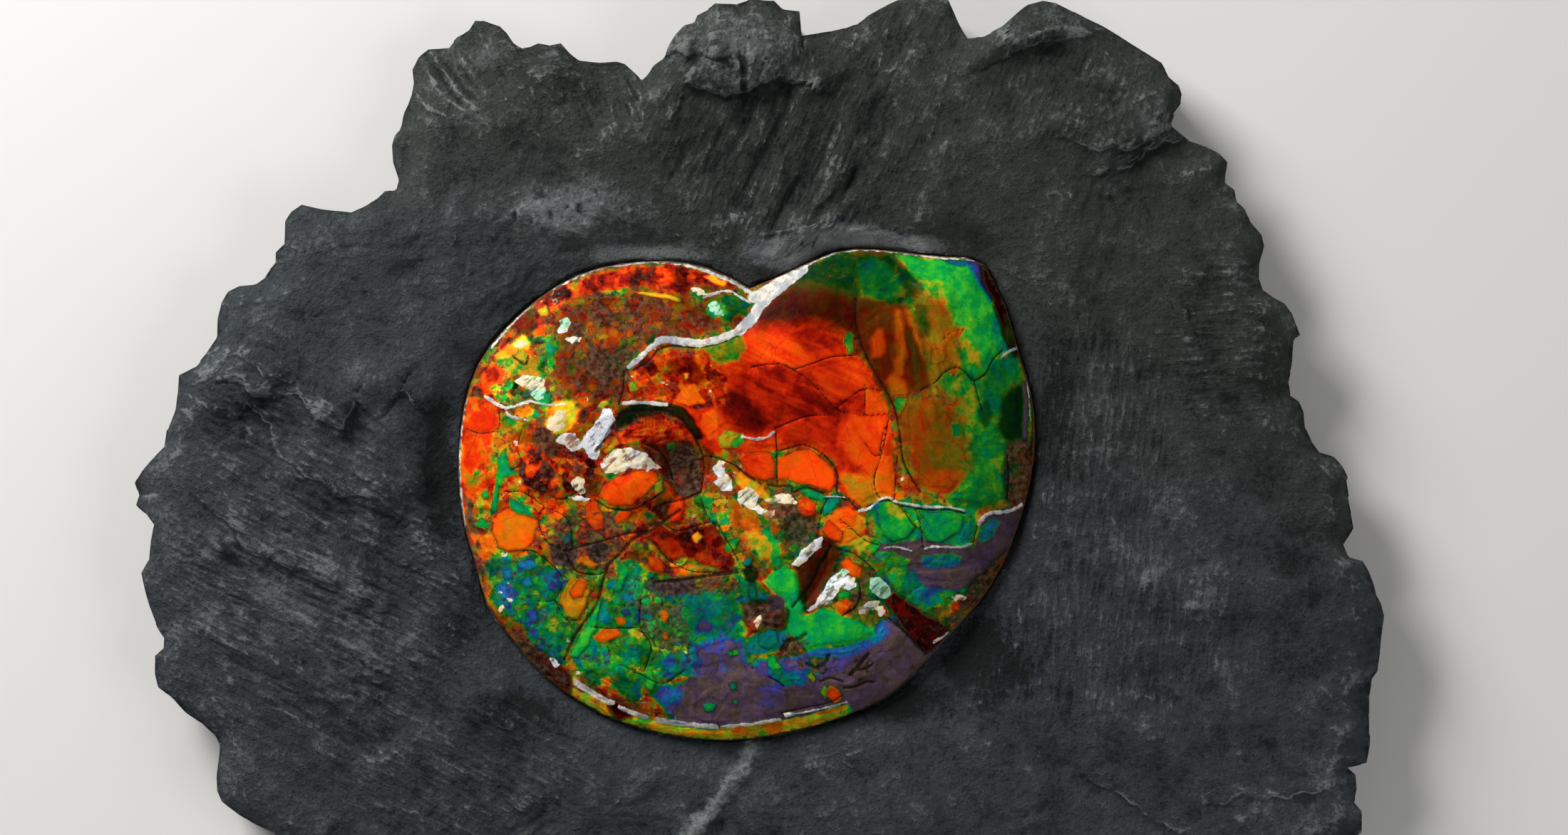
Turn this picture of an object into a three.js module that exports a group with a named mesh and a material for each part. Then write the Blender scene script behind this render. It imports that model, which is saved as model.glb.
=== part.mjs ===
// Fossil ammonite with iridescent nacre, lying in the broken slab of dark shale that it was found in.
// Millimetres, +Z up. The slab lies on its flat back at z = 0, and the origin is under its middle.
// Both solids are stacks of closed rings around one axis, sewn ring to ring from the top pole to the
// bottom pole. The fossil's underside and the slab's recess share their rings, one gap apart.
import * as THREE from 'three';

// Driving dimensions
const SLAB_WIDTH = 617;
const AXIS = { x: -7, y: -2 };
const SEAT_GAP = 0.3;
const WALL_GAP = 0.4;
const RIM_CHAMFER = 0.5;

const FIELD_HEIGHT = 35;
const MOAT = { depth: 5, width: 24, calm: 0.25 };
const EDGE_BREAK = { width: 15, least: 4, most: 11 };
const SIDE_LEVELS = [0.68, 0.36, 0];
const SIDE_INSET = { least: 0.5, most: 9.5, foot: 2 };
const FIELD_SPACING = 10;
const BACK_RING_SHARES = [0.62, 0.25];
const BACK_RING_COUNTS = [60, 20];

const RECESS_FLOOR = 19;
const RECESS_RISE = 9.5;
const SEAT_RING_SHARES = [0.82, 0.55, 0.28];
const SEAT_RING_COUNTS = [48, 28, 12];

const SHOULDER = { height: 34.5, inset: 1.2, flank: 2.5 };
const CROWN = { rise: 14, reach: 58, roundness: 2.4 };
const SHELL_SPACING = 6.7;
const UMBILICUS = { x: -38, y: 12, radius: 15, depth: 6.5, blend: 1.4 };
const EDGE_CALM = 16;
const WHORL_STEP = { drop: -2.6, reach: 60 };

// Edges are read by eye in the picture's pixels, and the slab's real width sets their scale
const SLAB_SPAN_PIXELS = { left: 183, right: 1946 };
const ORIGIN_PIXEL = { across: 1064, down: 688.5 };
const PIXEL = SLAB_WIDTH / (SLAB_SPAN_PIXELS.right - SLAB_SPAN_PIXELS.left);
const fromPixel = ([across, down]) => [
  (across - ORIGIN_PIXEL.across) * PIXEL,
  (ORIGIN_PIXEL.down - down) * PIXEL,
];

// Broken edge of the slab, clockwise: up the left side, over the top and down the right side
const SLAB_LEFT_PIXELS = [
  [379, 1171], [352, 1159], [329, 1146], [306, 1128], [299, 1114], [299, 1087], [302, 1050],
  [297, 1036], [279, 1018], [256, 1003], [238, 984], [216, 967], [211, 948], [211, 923], [223, 912],
  [224, 898], [217, 886], [208, 864], [202, 846], [197, 823], [193, 805], [204, 786], [206, 760],
  [211, 737], [201, 723], [184, 710], [188, 696], [183, 678], [195, 660], [209, 644], [225, 627],
  [229, 601], [240, 574], [243, 550], [245, 526], [270, 514], [286, 496], [300, 474], [300, 446],
  [305, 424], [315, 408], [331, 400], [353, 398], [367, 389], [375, 376], [382, 367], [383, 353],
  [395, 341], [396, 309], [405, 295], [419, 285], [447, 292], [491, 297], [508, 288], [524, 279],
  [536, 267], [552, 264], [555, 250], [547, 225], [545, 200], [548, 188], [556, 176], [561, 152],
];
const SLAB_TOP_PIXELS = [
  [572, 128], [575, 112], [573, 92], [582, 76], [596, 64], [624, 60], [636, 46], [654, 36], [663, 24],
  [676, 25], [698, 32], [708, 42], [718, 57], [727, 64], [741, 62], [753, 57], [769, 60], [785, 57],
  [797, 71], [810, 81], [839, 83], [863, 82], [875, 86], [887, 97], [899, 109], [907, 102], [917, 89],
  [932, 78], [938, 63], [948, 47], [960, 35], [974, 30], [978, 19], [993, 11], [1003, 2], [1033, 3],
  [1052, -5], [1086, -4], [1098, 9], [1122, 12], [1121, 49], [1148, 44], [1180, 37], [1204, 29],
  [1219, 17], [1239, 5], [1262, -6], [1300, -8], [1332, -4], [1340, 12], [1350, 34], [1359, 51],
  [1381, 49], [1407, 36], [1424, 20], [1443, 4], [1465, -2], [1483, 2], [1503, 10], [1526, 22],
  [1556, 36], [1582, 51], [1605, 67], [1633, 85], [1643, 105], [1657, 117], [1661, 131],
];
const SLAB_RIGHT_PIXELS = [
  [1659, 144], [1651, 157], [1641, 163], [1645, 174], [1673, 196], [1697, 204], [1714, 213],
  [1725, 226], [1721, 255], [1734, 265], [1738, 281], [1750, 291], [1758, 310], [1775, 328],
  [1778, 344], [1771, 368], [1771, 390], [1776, 406], [1791, 417], [1807, 425], [1817, 439],
  [1821, 453], [1827, 470], [1818, 476], [1817, 512], [1813, 536], [1817, 555], [1829, 563],
  [1835, 578], [1837, 600], [1847, 621], [1857, 635], [1876, 641], [1888, 655], [1895, 669],
  [1897, 700], [1903, 742], [1889, 765], [1896, 783], [1916, 788], [1925, 802], [1932, 820],
  [1935, 836], [1942, 849], [1946, 865], [1943, 904], [1938, 944], [1930, 955], [1926, 980],
  [1925, 1046], [1922, 1073], [1895, 1080], [1906, 1090], [1908, 1110], [1904, 1129], [1914, 1141],
  [1914, 1171],
];

// The slab's lower edge lies outside the picture: a plain broken bow between the last two points seen
const LOWER_EDGE = { points: 34, sag: 74, fullness: 0.8, jag: 3 };

// Edge of the fossil, clockwise from the notch beside the opening of the shell
const FOSSIL_EDGE_PIXELS = [
  [1052, 404], [1082, 392], [1133, 369], [1179, 351], [1231, 350], [1288, 356], [1346, 361],
  [1376, 362], [1387, 381], [1412, 430], [1429, 491], [1446, 545], [1453, 603], [1449, 660],
  [1435, 720], [1409, 789], [1377, 843], [1341, 881], [1305, 921], [1254, 971], [1191, 1004],
  [1116, 1026], [1030, 1040], [949, 1034], [872, 1015], [812, 986], [757, 945], [716, 896],
  [683, 852], [668, 797], [650, 737], [642, 660], [645, 604], [656, 547], [678, 497], [719, 450],
  [768, 409], [817, 383], [853, 373], [894, 367], [935, 366], [976, 371], [1004, 379], [1031, 392],
];
const FOSSIL_EDGE_POINTS = 78;

// Relief of the rock: hollows and swells are ellipses, a ledge drops on the left of its line or rises there
const ROCK_SWELLS = [
  { x: -147, y: 212, across: 34, along: 30, rise: -11 },
  { x: -178, y: 178, across: 14, along: 36, rise: -9 },
  { x: -74, y: 200, across: 25, along: 22, rise: -7 },
  { x: -12, y: 224, across: 36, along: 24, rise: 7 },
  { x: 73, y: 232, across: 34, along: 18, rise: -8 },
  { x: 32, y: 127, across: 44, along: 9, rise: 4 },
  { x: -92, y: 138, across: 38, along: 15, rise: 3.5 },
  { x: -160, y: 10, across: 13, along: 44, rise: -5 },
  { x: 112, y: -82, across: 42, along: 26, rise: -5 },
  { x: 226, y: 70, across: 40, along: 48, rise: 4 },
  { x: 150, y: 170, across: 44, along: 32, rise: 5 },
  { x: -235, y: -60, across: 46, along: 60, rise: 4 },
  { x: 205, y: -130, across: 60, along: 40, rise: 4 },
  { x: -90, y: -180, across: 70, along: 30, rise: -4 },
];
const ROCK_LEDGES = [
  {
    line: [[-45, 215], [-27, 214], [-37, 199], [-26, 195], [-9, 193], [9, 201], [20, 198]],
    drop: -6,
    reach: 34,
  },
  { line: [[102, 222], [93, 199], [90, 178], [79, 153], [74, 127]], drop: -4, reach: 36 },
  { line: [[-260, 54], [-240, 46], [-213, 31], [-195, 45], [-171, 45]], drop: -5, reach: 34 },
  { line: [[-267, 40], [-238, 20], [-232, 10], [-205, -4], [-190, -5]], drop: -4, reach: 32 },
  { line: [[-270, -8], [-252, -30], [-225, -39], [-208, -46]], drop: -3.5, reach: 36 },
  { line: [[-160, 186], [-140, 178], [-122, 178], [-108, 190]], drop: -3.5, reach: 24 },
  { line: [[153, 173], [168, 166], [196, 171]], drop: -4, reach: 28 },
  { line: [[160, 156], [182, 159], [219, 159]], drop: 3, reach: 26 },
  { line: [[118, 212], [132, 218], [144, 221], [161, 224]], drop: -4, reach: 26 },
  { line: [[167, -144], [181, -151], [195, -162], [205, -167]], drop: 4, reach: 42 },
  { line: [[223, -154], [240, -149], [262, -152]], drop: 3.5, reach: 36 },
];
const VEIN = { line: [[-1, -123], [-8, -137], [-19, -151], [-28, -162], [-38, -180]], width: 6, depth: -3 };
const STROKES = {
  lines: [
    [[16, 199], [9, 174], [-5, 150], [-15, 136]],
    [[-1, 188], [-22, 160]],
    [[20, 153], [6, 125]],
    [[48, 157], [39, 136]],
    [[38, 196], [28, 168], [22, 150]],
    [[62, 192], [56, 166]],
  ],
  width: 6,
  depth: 3.6,
};
const RIPPLES = [
  { x: 226, y: 78, across: 34, along: 44, pitch: 17, turn: 90, rise: 1.3 },
  { x: -215, y: -70, across: 70, along: 70, pitch: 24, turn: 62, rise: 1.5 },
];
const WANDER = { size: 40, height: 4 };

// Relief of the fossil
const WHORL_LINE = [
  [30, 118], [21, 106], [12, 97], [0, 86], [-6, 78], [-16, 73], [-37, 71], [-50, 72],
  [-58, 62], [-64, 59], [-66, 44],
];
const SHELL_SWELLS = [
  { x: 33, y: -42, across: 9, along: 15, rise: -3 },
  { x: 36, y: -51, across: 20, along: 8, rise: 2.2 },
  { x: 18, y: -13, across: 13, along: 12, rise: 1.8 },
  { x: -34, y: -28, across: 24, along: 11, rise: -2.6 },
  { x: -57, y: 2, across: 16, along: 10, rise: 2.4 },
  { x: -100, y: 20, across: 26, along: 40, rise: 1.8 },
  { x: 90, y: 30, across: 22, along: 48, rise: 1.8 },
  { x: -60, y: 88, across: 40, along: 12, rise: -2 },
  { x: 58, y: -62, across: 14, along: 12, rise: -2 },
  { x: -2, y: -53, across: 6, along: 10, rise: -2.4 },
  { x: 20, y: -95, across: 50, along: 12, rise: 1.4 },
];
const SHELL_CRACKS = [
  [[48, 84], [56, 61], [66, 41], [72, 10], [79, -1]],
  [[-42, -11], [-64, -25], [-76, -36], [-84, -61], [-96, -83]],
  [[8, 31], [23, 38], [44, 37], [62, 38]],
];
const CRACK = { width: 3.6, depth: 1.3 };

const PLATES = { size: 46, tilt: 0.075, step: 1.6 };
const LUMPS = {
  rock: { size: 38, height: 2.2, fine: 17, fineHeight: 1.1 },
  shell: { size: 24, height: 1.6, fine: 11, fineHeight: 0.6 },
};

const COLOURS = { shale: 0x35393d, nacre: 0x8a4a2a };

// Small maths
const clamp01 = (value) => Math.min(1, Math.max(0, value));
const smooth = (value) => clamp01(value) ** 2 * (3 - 2 * clamp01(value));
const mix = (from, to, share) => from + (to - from) * share;
const sum = (list, valueOf) => list.reduce((total, item) => total + valueOf(item), 0);
const FULL_TURN = 2 * Math.PI;
const LEDGE_BLEND = 4;
const SWELL_REACH = 1.25;

function scatter(i, j, seed) {
  const wave = Math.sin(i * 127.1 + j * 311.7 + seed * 74.7) * 43758.5453;
  return wave - Math.floor(wave);
}

// Smooth noise from -1 to 1 on a lattice of the given size
function lumps(x, y, size, seed) {
  const column = Math.floor(x / size);
  const row = Math.floor(y / size);
  const shareX = smooth(x / size - column);
  const shareY = smooth(y / size - row);
  const near = mix(scatter(column, row, seed), scatter(column + 1, row, seed), shareX);
  const far = mix(scatter(column, row + 1, seed), scatter(column + 1, row + 1, seed), shareX);
  return 2 * mix(near, far, shareY) - 1;
}

// Distance from a point to an open line, positive on the line's left
function lineDistance(x, y, line) {
  let best = { distance: Infinity, side: 1 };
  for (let i = 0; i + 1 < line.length; i += 1) {
    const [startX, startY] = line[i];
    const [runX, runY] = [line[i + 1][0] - startX, line[i + 1][1] - startY];
    const share = clamp01(((x - startX) * runX + (y - startY) * runY) / (runX ** 2 + runY ** 2));
    const [offX, offY] = [x - startX - runX * share, y - startY - runY * share];
    const distance = Math.hypot(offX, offY);
    if (distance < best.distance) {
      best = { distance, side: Math.sign(runX * offY - runY * offX) || 1 };
    }
  }
  return best.distance * best.side;
}

function swell(x, y, { x: middleX, y: middleY, across, along, rise }) {
  return rise * smooth(SWELL_REACH - Math.hypot((x - middleX) / across, (y - middleY) / along));
}

function ledge(x, y, { line, drop, reach }) {
  const distance = lineDistance(x, y, line);
  return -drop * smooth(0.5 + distance / LEDGE_BLEND) * clamp01(1 - Math.abs(distance) / reach);
}

function groove(x, y, line, { width, depth }) {
  return -depth * smooth(1 - Math.abs(lineDistance(x, y, line)) / width);
}

function ripple(x, y, { pitch, turn, ...shape }) {
  const angle = THREE.MathUtils.degToRad(turn);
  const travel = x * Math.cos(angle) + y * Math.sin(angle) + WANDER.height * lumps(x, y, WANDER.size, 9);
  return swell(x, y, shape) * Math.sin((travel / pitch) * FULL_TURN);
}

function roughness(x, y, { size, height, fine, fineHeight }, seed) {
  return height * lumps(x, y, size, seed) + fineHeight * lumps(x, y, fine, seed + 1);
}

// Broken plates: each point takes the tilt and the level of the plate whose middle is nearest
function plates(x, y, { size, tilt, step }) {
  const column = Math.floor(x / size);
  const row = Math.floor(y / size);
  let best = { distance: Infinity, height: 0 };
  for (let i = column - 1; i <= column + 1; i += 1) {
    for (let j = row - 1; j <= row + 1; j += 1) {
      const offX = x - (i + scatter(i, j, 31)) * size;
      const offY = y - (j + scatter(i, j, 32)) * size;
      const distance = Math.hypot(offX, offY);
      if (distance < best.distance) {
        const slopeX = tilt * (2 * scatter(i, j, 33) - 1);
        const slopeY = tilt * (2 * scatter(i, j, 34) - 1);
        const level = step * (2 * scatter(i, j, 35) - 1);
        best = { distance, height: level + slopeX * offX + slopeY * offY };
      }
    }
  }
  return best.height;
}

// Outlines as a radius around the axis
function polar(outline) {
  return outline
    .map(([x, y]) => {
      const angle = Math.atan2(y - AXIS.y, x - AXIS.x);
      return { angle: (angle + FULL_TURN) % FULL_TURN, radius: Math.hypot(x - AXIS.x, y - AXIS.y) };
    })
    .sort((a, b) => a.angle - b.angle);
}

// Radius where a ray at this angle meets the outline's straight edges
function radiusAt(corners, angle) {
  const after = corners.findIndex((corner) => corner.angle > angle);
  const end = corners[after < 0 ? 0 : after];
  const start = corners[(after <= 0 ? corners.length : after) - 1];
  const span = (end.angle - start.angle + FULL_TURN) % FULL_TURN;
  const turn = (angle - start.angle + FULL_TURN) % FULL_TURN;
  const cross = start.radius * Math.sin(turn) + end.radius * Math.sin(span - turn);
  return (start.radius * end.radius * Math.sin(span)) / cross;
}

// The invented lower edge, from the last point seen on the right to the first one on the left
function lowerEdge([startX, startY], [endX, endY]) {
  const { points, sag, fullness, jag } = LOWER_EDGE;
  return Array.from({ length: points }, (_, index) => {
    const share = (index + 1) / (points + 1);
    const bow = sag * Math.sin(Math.PI * share) ** fullness;
    const bite = jag * (2 * scatter(index, 0, 61) - 1);
    return [mix(startX, endX, share), mix(startY, endY, share) - bow + bite];
  });
}

function slabOutline() {
  const seen = [...SLAB_LEFT_PIXELS, ...SLAB_TOP_PIXELS, ...SLAB_RIGHT_PIXELS].map(fromPixel);
  return [...seen, ...lowerEdge(seen.at(-1), seen[0])];
}

// A smooth closed curve through the points read on the fossil's edge
function fossilOutline() {
  const points = FOSSIL_EDGE_PIXELS.map(fromPixel).map(([x, y]) => new THREE.Vector3(x, y, 0));
  const curve = new THREE.CatmullRomCurve3(points, true, 'centripetal');
  return curve.getSpacedPoints(FOSSIL_EDGE_POINTS).slice(0, -1).map(({ x, y }) => [x, y]);
}

const meanRadius = (corners) => sum(corners, (corner) => corner.radius) / corners.length;
const slabCorners = polar(slabOutline());
const fossilCorners = polar(fossilOutline());
const slabAngles = slabCorners.map((corner) => corner.angle);
const fossilAngles = fossilCorners.map((corner) => corner.angle);

function evenAngles(count, stagger) {
  return Array.from({ length: count }, (_, i) => ((i + stagger) / count) * FULL_TURN);
}

// A ring of points, each at the radius and height that the two functions give for its angle
function ring(angles, radiusFor, heightFor) {
  return angles.map((angle) => {
    const radius = radiusFor(angle);
    const x = AXIS.x + radius * Math.cos(angle);
    const y = AXIS.y + radius * Math.sin(angle);
    return { angle, x, y, z: heightFor(x, y, angle, radius) };
  });
}

// Sews rings, listed from the top pole outwards, down and back in, into one closed mesh
function sewRings(topPole, rings, bottomPole) {
  const points = [topPole, ...rings.flat(), bottomPole];
  const triangles = [];
  let start = 1;
  rings.forEach((inner, index) => {
    const outer = rings[index + 1];
    if (index === 0) {
      inner.forEach((_, i) => triangles.push([0, start + i, start + ((i + 1) % inner.length)]));
    }
    const next = start + inner.length;
    if (outer) {
      sewPair(inner, start, outer, next, triangles);
    } else {
      const pole = points.length - 1;
      inner.forEach((_, i) => triangles.push([pole, start + ((i + 1) % inner.length), start + i]));
    }
    start = next;
  });
  const geometry = new THREE.BufferGeometry();
  const positions = points.flatMap(({ x, y, z }) => [x, y, z]);
  geometry.setAttribute('position', new THREE.Float32BufferAttribute(positions, 3));
  geometry.setIndex(triangles.flat());
  geometry.computeVertexNormals();
  return geometry;
}

// Steps round both rings together, always to whichever has the nearer next point
function sewPair(inner, innerStart, outer, outerStart, triangles) {
  const angleAt = (points, i) => points[i % points.length].angle + (i >= points.length ? FULL_TURN : 0);
  let i = 0;
  let j = 0;
  while (i < inner.length || j < outer.length) {
    const a = innerStart + (i % inner.length);
    const b = outerStart + (j % outer.length);
    const stepInner = j >= outer.length
      || (i < inner.length && angleAt(inner, i + 1) < angleAt(outer, j + 1));
    if (stepInner) {
      triangles.push([a, b, innerStart + ((i + 1) % inner.length)]);
      i += 1;
    } else {
      triangles.push([a, b, outerStart + ((j + 1) % outer.length)]);
      j += 1;
    }
  }
}

// The lens that both the fossil's underside and the slab's recess follow
function seatHeight(share) {
  return RECESS_FLOOR + RECESS_RISE * share ** 2.5;
}

function seatRings(lift, spread) {
  const full = ring(
    fossilAngles,
    (angle) => radiusAt(fossilCorners, angle) + spread,
    () => seatHeight(1) + lift,
  );
  const inner = SEAT_RING_SHARES.map((share, index) => ring(
    evenAngles(SEAT_RING_COUNTS[index], 0),
    (angle) => radiusAt(fossilCorners, angle) * share,
    () => seatHeight(share) + lift,
  ));
  return [full, ...inner];
}

function rockHeight(x, y, angle, radius) {
  const fromFossil = radius - radiusAt(fossilCorners, angle);
  const fromEdge = radiusAt(slabCorners, angle) - radius;
  const fade = smooth(fromFossil / MOAT.width);
  const breakShare = 0.5 + 0.5 * lumps(x, y, 46, 5);
  let height = FIELD_HEIGHT;
  height -= MOAT.depth * (1 - fade);
  height -= mix(EDGE_BREAK.least, EDGE_BREAK.most, breakShare) * smooth(1 - fromEdge / EDGE_BREAK.width);
  height += (roughness(x, y, LUMPS.rock, 1) + plates(x, y, PLATES)) * mix(MOAT.calm, 1, fade);
  height += sum(ROCK_SWELLS, (shape) => swell(x, y, shape));
  height += sum(ROCK_LEDGES, (shape) => ledge(x, y, shape));
  height += sum(RIPPLES, (shape) => ripple(x, y, shape));
  height += sum(STROKES.lines, (line) => groove(x, y, line, STROKES));
  height += groove(x, y, VEIN.line, VEIN);
  return height;
}

function shaleMatrix() {
  const recess = seatRings(-SEAT_GAP, WALL_GAP);
  const reach = meanRadius(slabCorners);
  const hole = meanRadius(fossilCorners);
  const bands = Math.round((reach - hole) / FIELD_SPACING);
  const rim = ring(
    fossilAngles,
    (angle) => radiusAt(fossilCorners, angle) + WALL_GAP + RIM_CHAMFER,
    rockHeight,
  );
  const field = Array.from({ length: bands - 1 }, (_, index) => {
    const share = (index + 1) / bands;
    const count = Math.round((FULL_TURN * mix(hole, reach, share)) / FIELD_SPACING);
    return ring(
      evenAngles(count, (index % 2) / 2),
      (angle) => mix(radiusAt(fossilCorners, angle), radiusAt(slabCorners, angle), share),
      rockHeight,
    );
  });
  const edge = ring(slabAngles, (angle) => radiusAt(slabCorners, angle), rockHeight);
  const sides = SIDE_LEVELS.map((level, index) => edge.map((point) => {
    const bite = 0.5 + 0.5 * lumps(point.x, point.y, 30, 20 + index);
    const inset = mix(SIDE_INSET.least, SIDE_INSET.most, bite) + (level === 0 ? SIDE_INSET.foot : 0);
    const share = 1 - inset / radiusAt(slabCorners, point.angle);
    return {
      angle: point.angle,
      x: mix(AXIS.x, point.x, share),
      y: mix(AXIS.y, point.y, share),
      z: point.z * level,
    };
  }));
  const back = BACK_RING_SHARES.map((share, index) => ring(
    evenAngles(BACK_RING_COUNTS[index], 0),
    (angle) => radiusAt(slabCorners, angle) * share,
    () => 0,
  ));
  return sewRings(
    { ...AXIS, z: seatHeight(0) - SEAT_GAP },
    [...recess.reverse(), rim, ...field, edge, ...sides, ...back],
    { ...AXIS, z: 0 },
  );
}

function shellHeight(x, y, angle, radius) {
  const fromEdge = radiusAt(fossilCorners, angle) - radius;
  const fromUmbilicus = Math.hypot(x - UMBILICUS.x, y - UMBILICUS.y);
  const crown = 1 - (1 - clamp01(fromEdge / CROWN.reach)) ** CROWN.roundness;
  const edgeFade = smooth(fromEdge / EDGE_CALM);
  let height = SHOULDER.height + CROWN.rise * crown;
  height -= UMBILICUS.depth * smooth(UMBILICUS.blend - fromUmbilicus / UMBILICUS.radius);
  height += ledge(x, y, { line: WHORL_LINE, ...WHORL_STEP });
  height += sum(SHELL_SWELLS, (shape) => swell(x, y, shape));
  height += sum(SHELL_CRACKS, (line) => groove(x, y, line, CRACK));
  height += roughness(x, y, LUMPS.shell, 3) * mix(0.3, 1, edgeFade);
  return height;
}

function ammonite() {
  const reach = meanRadius(fossilCorners);
  const bands = Math.round(reach / SHELL_SPACING);
  const top = Array.from({ length: bands - 1 }, (_, index) => {
    const share = (index + 1) / bands;
    const count = Math.max(6, Math.round((FULL_TURN * reach * share) / SHELL_SPACING));
    return ring(
      evenAngles(count, (index % 2) / 2),
      (angle) => radiusAt(fossilCorners, angle) * share,
      shellHeight,
    );
  });
  const shoulder = ring(
    fossilAngles,
    (angle) => radiusAt(fossilCorners, angle) - SHOULDER.inset,
    shellHeight,
  );
  const flank = ring(
    fossilAngles,
    (angle) => radiusAt(fossilCorners, angle),
    () => SHOULDER.height - SHOULDER.flank,
  );
  const seat = seatRings(0, 0);
  return sewRings(
    { ...AXIS, z: shellHeight(AXIS.x, AXIS.y, 0, 0) },
    [...top, shoulder, flank, ...seat],
    { ...AXIS, z: seatHeight(0) },
  );
}

function piece(name, geometry, colour, roughnessValue, metalness) {
  const material = new THREE.MeshStandardMaterial({ color: colour, roughness: roughnessValue, metalness });
  const mesh = new THREE.Mesh(geometry, material);
  mesh.name = name;
  return mesh;
}

const specimen = new THREE.Group();
specimen.add(piece('shale_matrix', shaleMatrix(), COLOURS.shale, 0.85, 0));
specimen.add(piece('ammonite', ammonite(), COLOURS.nacre, 0.3, 0.1));

export default specimen;
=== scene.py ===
import math

import bpy
import numpy as np
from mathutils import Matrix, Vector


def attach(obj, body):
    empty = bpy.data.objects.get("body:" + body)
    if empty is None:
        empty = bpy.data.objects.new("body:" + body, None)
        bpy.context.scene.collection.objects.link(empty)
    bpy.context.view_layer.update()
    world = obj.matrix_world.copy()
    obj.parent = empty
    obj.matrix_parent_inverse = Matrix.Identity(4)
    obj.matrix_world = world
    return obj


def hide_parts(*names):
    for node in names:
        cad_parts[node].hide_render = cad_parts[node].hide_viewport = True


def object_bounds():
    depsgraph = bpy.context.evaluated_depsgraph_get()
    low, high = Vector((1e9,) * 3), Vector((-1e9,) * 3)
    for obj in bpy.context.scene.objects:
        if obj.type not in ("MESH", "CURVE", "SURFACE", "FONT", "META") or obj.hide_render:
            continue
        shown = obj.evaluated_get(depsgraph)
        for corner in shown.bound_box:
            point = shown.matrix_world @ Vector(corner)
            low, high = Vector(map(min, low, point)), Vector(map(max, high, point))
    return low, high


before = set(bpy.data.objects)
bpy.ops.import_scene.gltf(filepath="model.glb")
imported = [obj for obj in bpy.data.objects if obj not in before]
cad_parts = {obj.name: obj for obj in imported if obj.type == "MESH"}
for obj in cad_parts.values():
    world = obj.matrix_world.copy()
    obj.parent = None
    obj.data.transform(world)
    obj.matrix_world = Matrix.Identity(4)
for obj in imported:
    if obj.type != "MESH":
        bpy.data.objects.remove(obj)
cad_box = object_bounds()

# Ammonite fossil with iridescent nacre in its slab of dark shale. Both pieces are dressed copies of
# their solids: the faces that show are divided finely, rounded, and carved with the rock's ledges,
# strokes and ripples and with the shell's cracks, shards and hollows. What a finish needs to know of
# a place, such as the play of colour there, is kept on the mesh as a named attribute.
# Reliefs are worked out in millimetres. Places are read in pixels, and place() turns them into
# millimetres of the frame by the slab's real width. A line or outline is a row of such places, each
# written as across,down.
MM = 0.001
SLAB_SPAN_PIXELS = (183, 1946)
ORIGIN_PIXEL = (1064, 688.5)
VIEW_PIXEL = (1100, 586)
VIEW_WIDTH_PIXELS = 2200
SLAB_WIDTH = (cad_box[1][0] - cad_box[0][0]) / MM
PIXEL = SLAB_WIDTH / (SLAB_SPAN_PIXELS[1] - SLAB_SPAN_PIXELS[0])


def place(points):
    """Pixels to millimetres of the frame, a place in each row."""
    across, down = np.array(points, float).reshape(-1, 2).T
    return np.stack([(across - ORIGIN_PIXEL[0]) * PIXEL, (ORIGIN_PIXEL[1] - down) * PIXEL], axis=1)


# Relief of the slab. Ledges: drop on the left of the line, its reach and the softness of its lip, all in mm
LEDGES = [
    (3.0, 26, 1.0, [935,75, 985,80, 958,120, 990,130, 1020,138, 1050,125, 1090,112, 1118,118]),
    (1.2, 22, 1.4, [585,150, 625,162, 665,160, 700,140]),
    (1.8, 20, 0.9, [320,535, 340,535, 360,555, 380,560, 420,552, 455,600, 480,600, 498,560, 528,590,
     545,570, 560,545, 575,560]),
    (1.7, 20, 0.9, [300,575, 330,588, 350,570, 365,580, 385,630, 400,645, 450,675, 470,695, 520,700]),
    (1.5, 20, 0.9, [290,710, 330,740, 345,775, 420,800, 470,820]),
    (1.3, 14, 0.8, [300,520, 325,500, 352,505, 372,528, 410,535]),
    (1.2, 14, 0.8, [372,586, 398,590, 415,622, 440,640, 470,652, 505,668]),
    (1.4, 22, 1.1, [1400,85, 1440,65, 1475,55, 1525,48]),
    (0.9, 20, 1.1, [1352,152, 1328,172, 1314,215, 1292,260, 1280,322]),
    (1.6, 22, 1.0, [1500,195, 1545,215, 1600,205, 1640,180]),
    (1.4, 20, 1.0, [1520,247, 1580,235, 1625,200, 1665,196]),
    (1.2, 18, 1.0, [1560,270, 1610,262, 1650,262, 1690,235, 1715,228]),
    (1.0, 16, 0.9, [1480,150, 1520,165, 1560,160, 1610,140]),
    (1.6, 26, 1.0, [1540,1100, 1580,1120, 1620,1150, 1650,1165]),
    (1.4, 24, 1.0, [1700,1130, 1750,1115, 1800,1122, 1850,1112]),
    (1.0, 18, 0.9, [1660,640, 1700,625, 1750,640, 1800,628, 1835,640]),
    (1.0, 20, 0.9, [1600,860, 1650,850, 1720,868, 1790,858, 1850,880]),
    (1.2, 20, 0.9, [395,345, 450,352, 500,340, 540,352, 600,330]),
    (1.0, 18, 0.9, [320,430, 380,425, 430,440, 470,432, 520,446]),
    (1.1, 18, 0.9, [760,190, 800,196, 860,190, 905,206, 960,196]),
    (0.9, 16, 0.8, [1560,520, 1620,532, 1690,520, 1760,534]),
]
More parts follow.
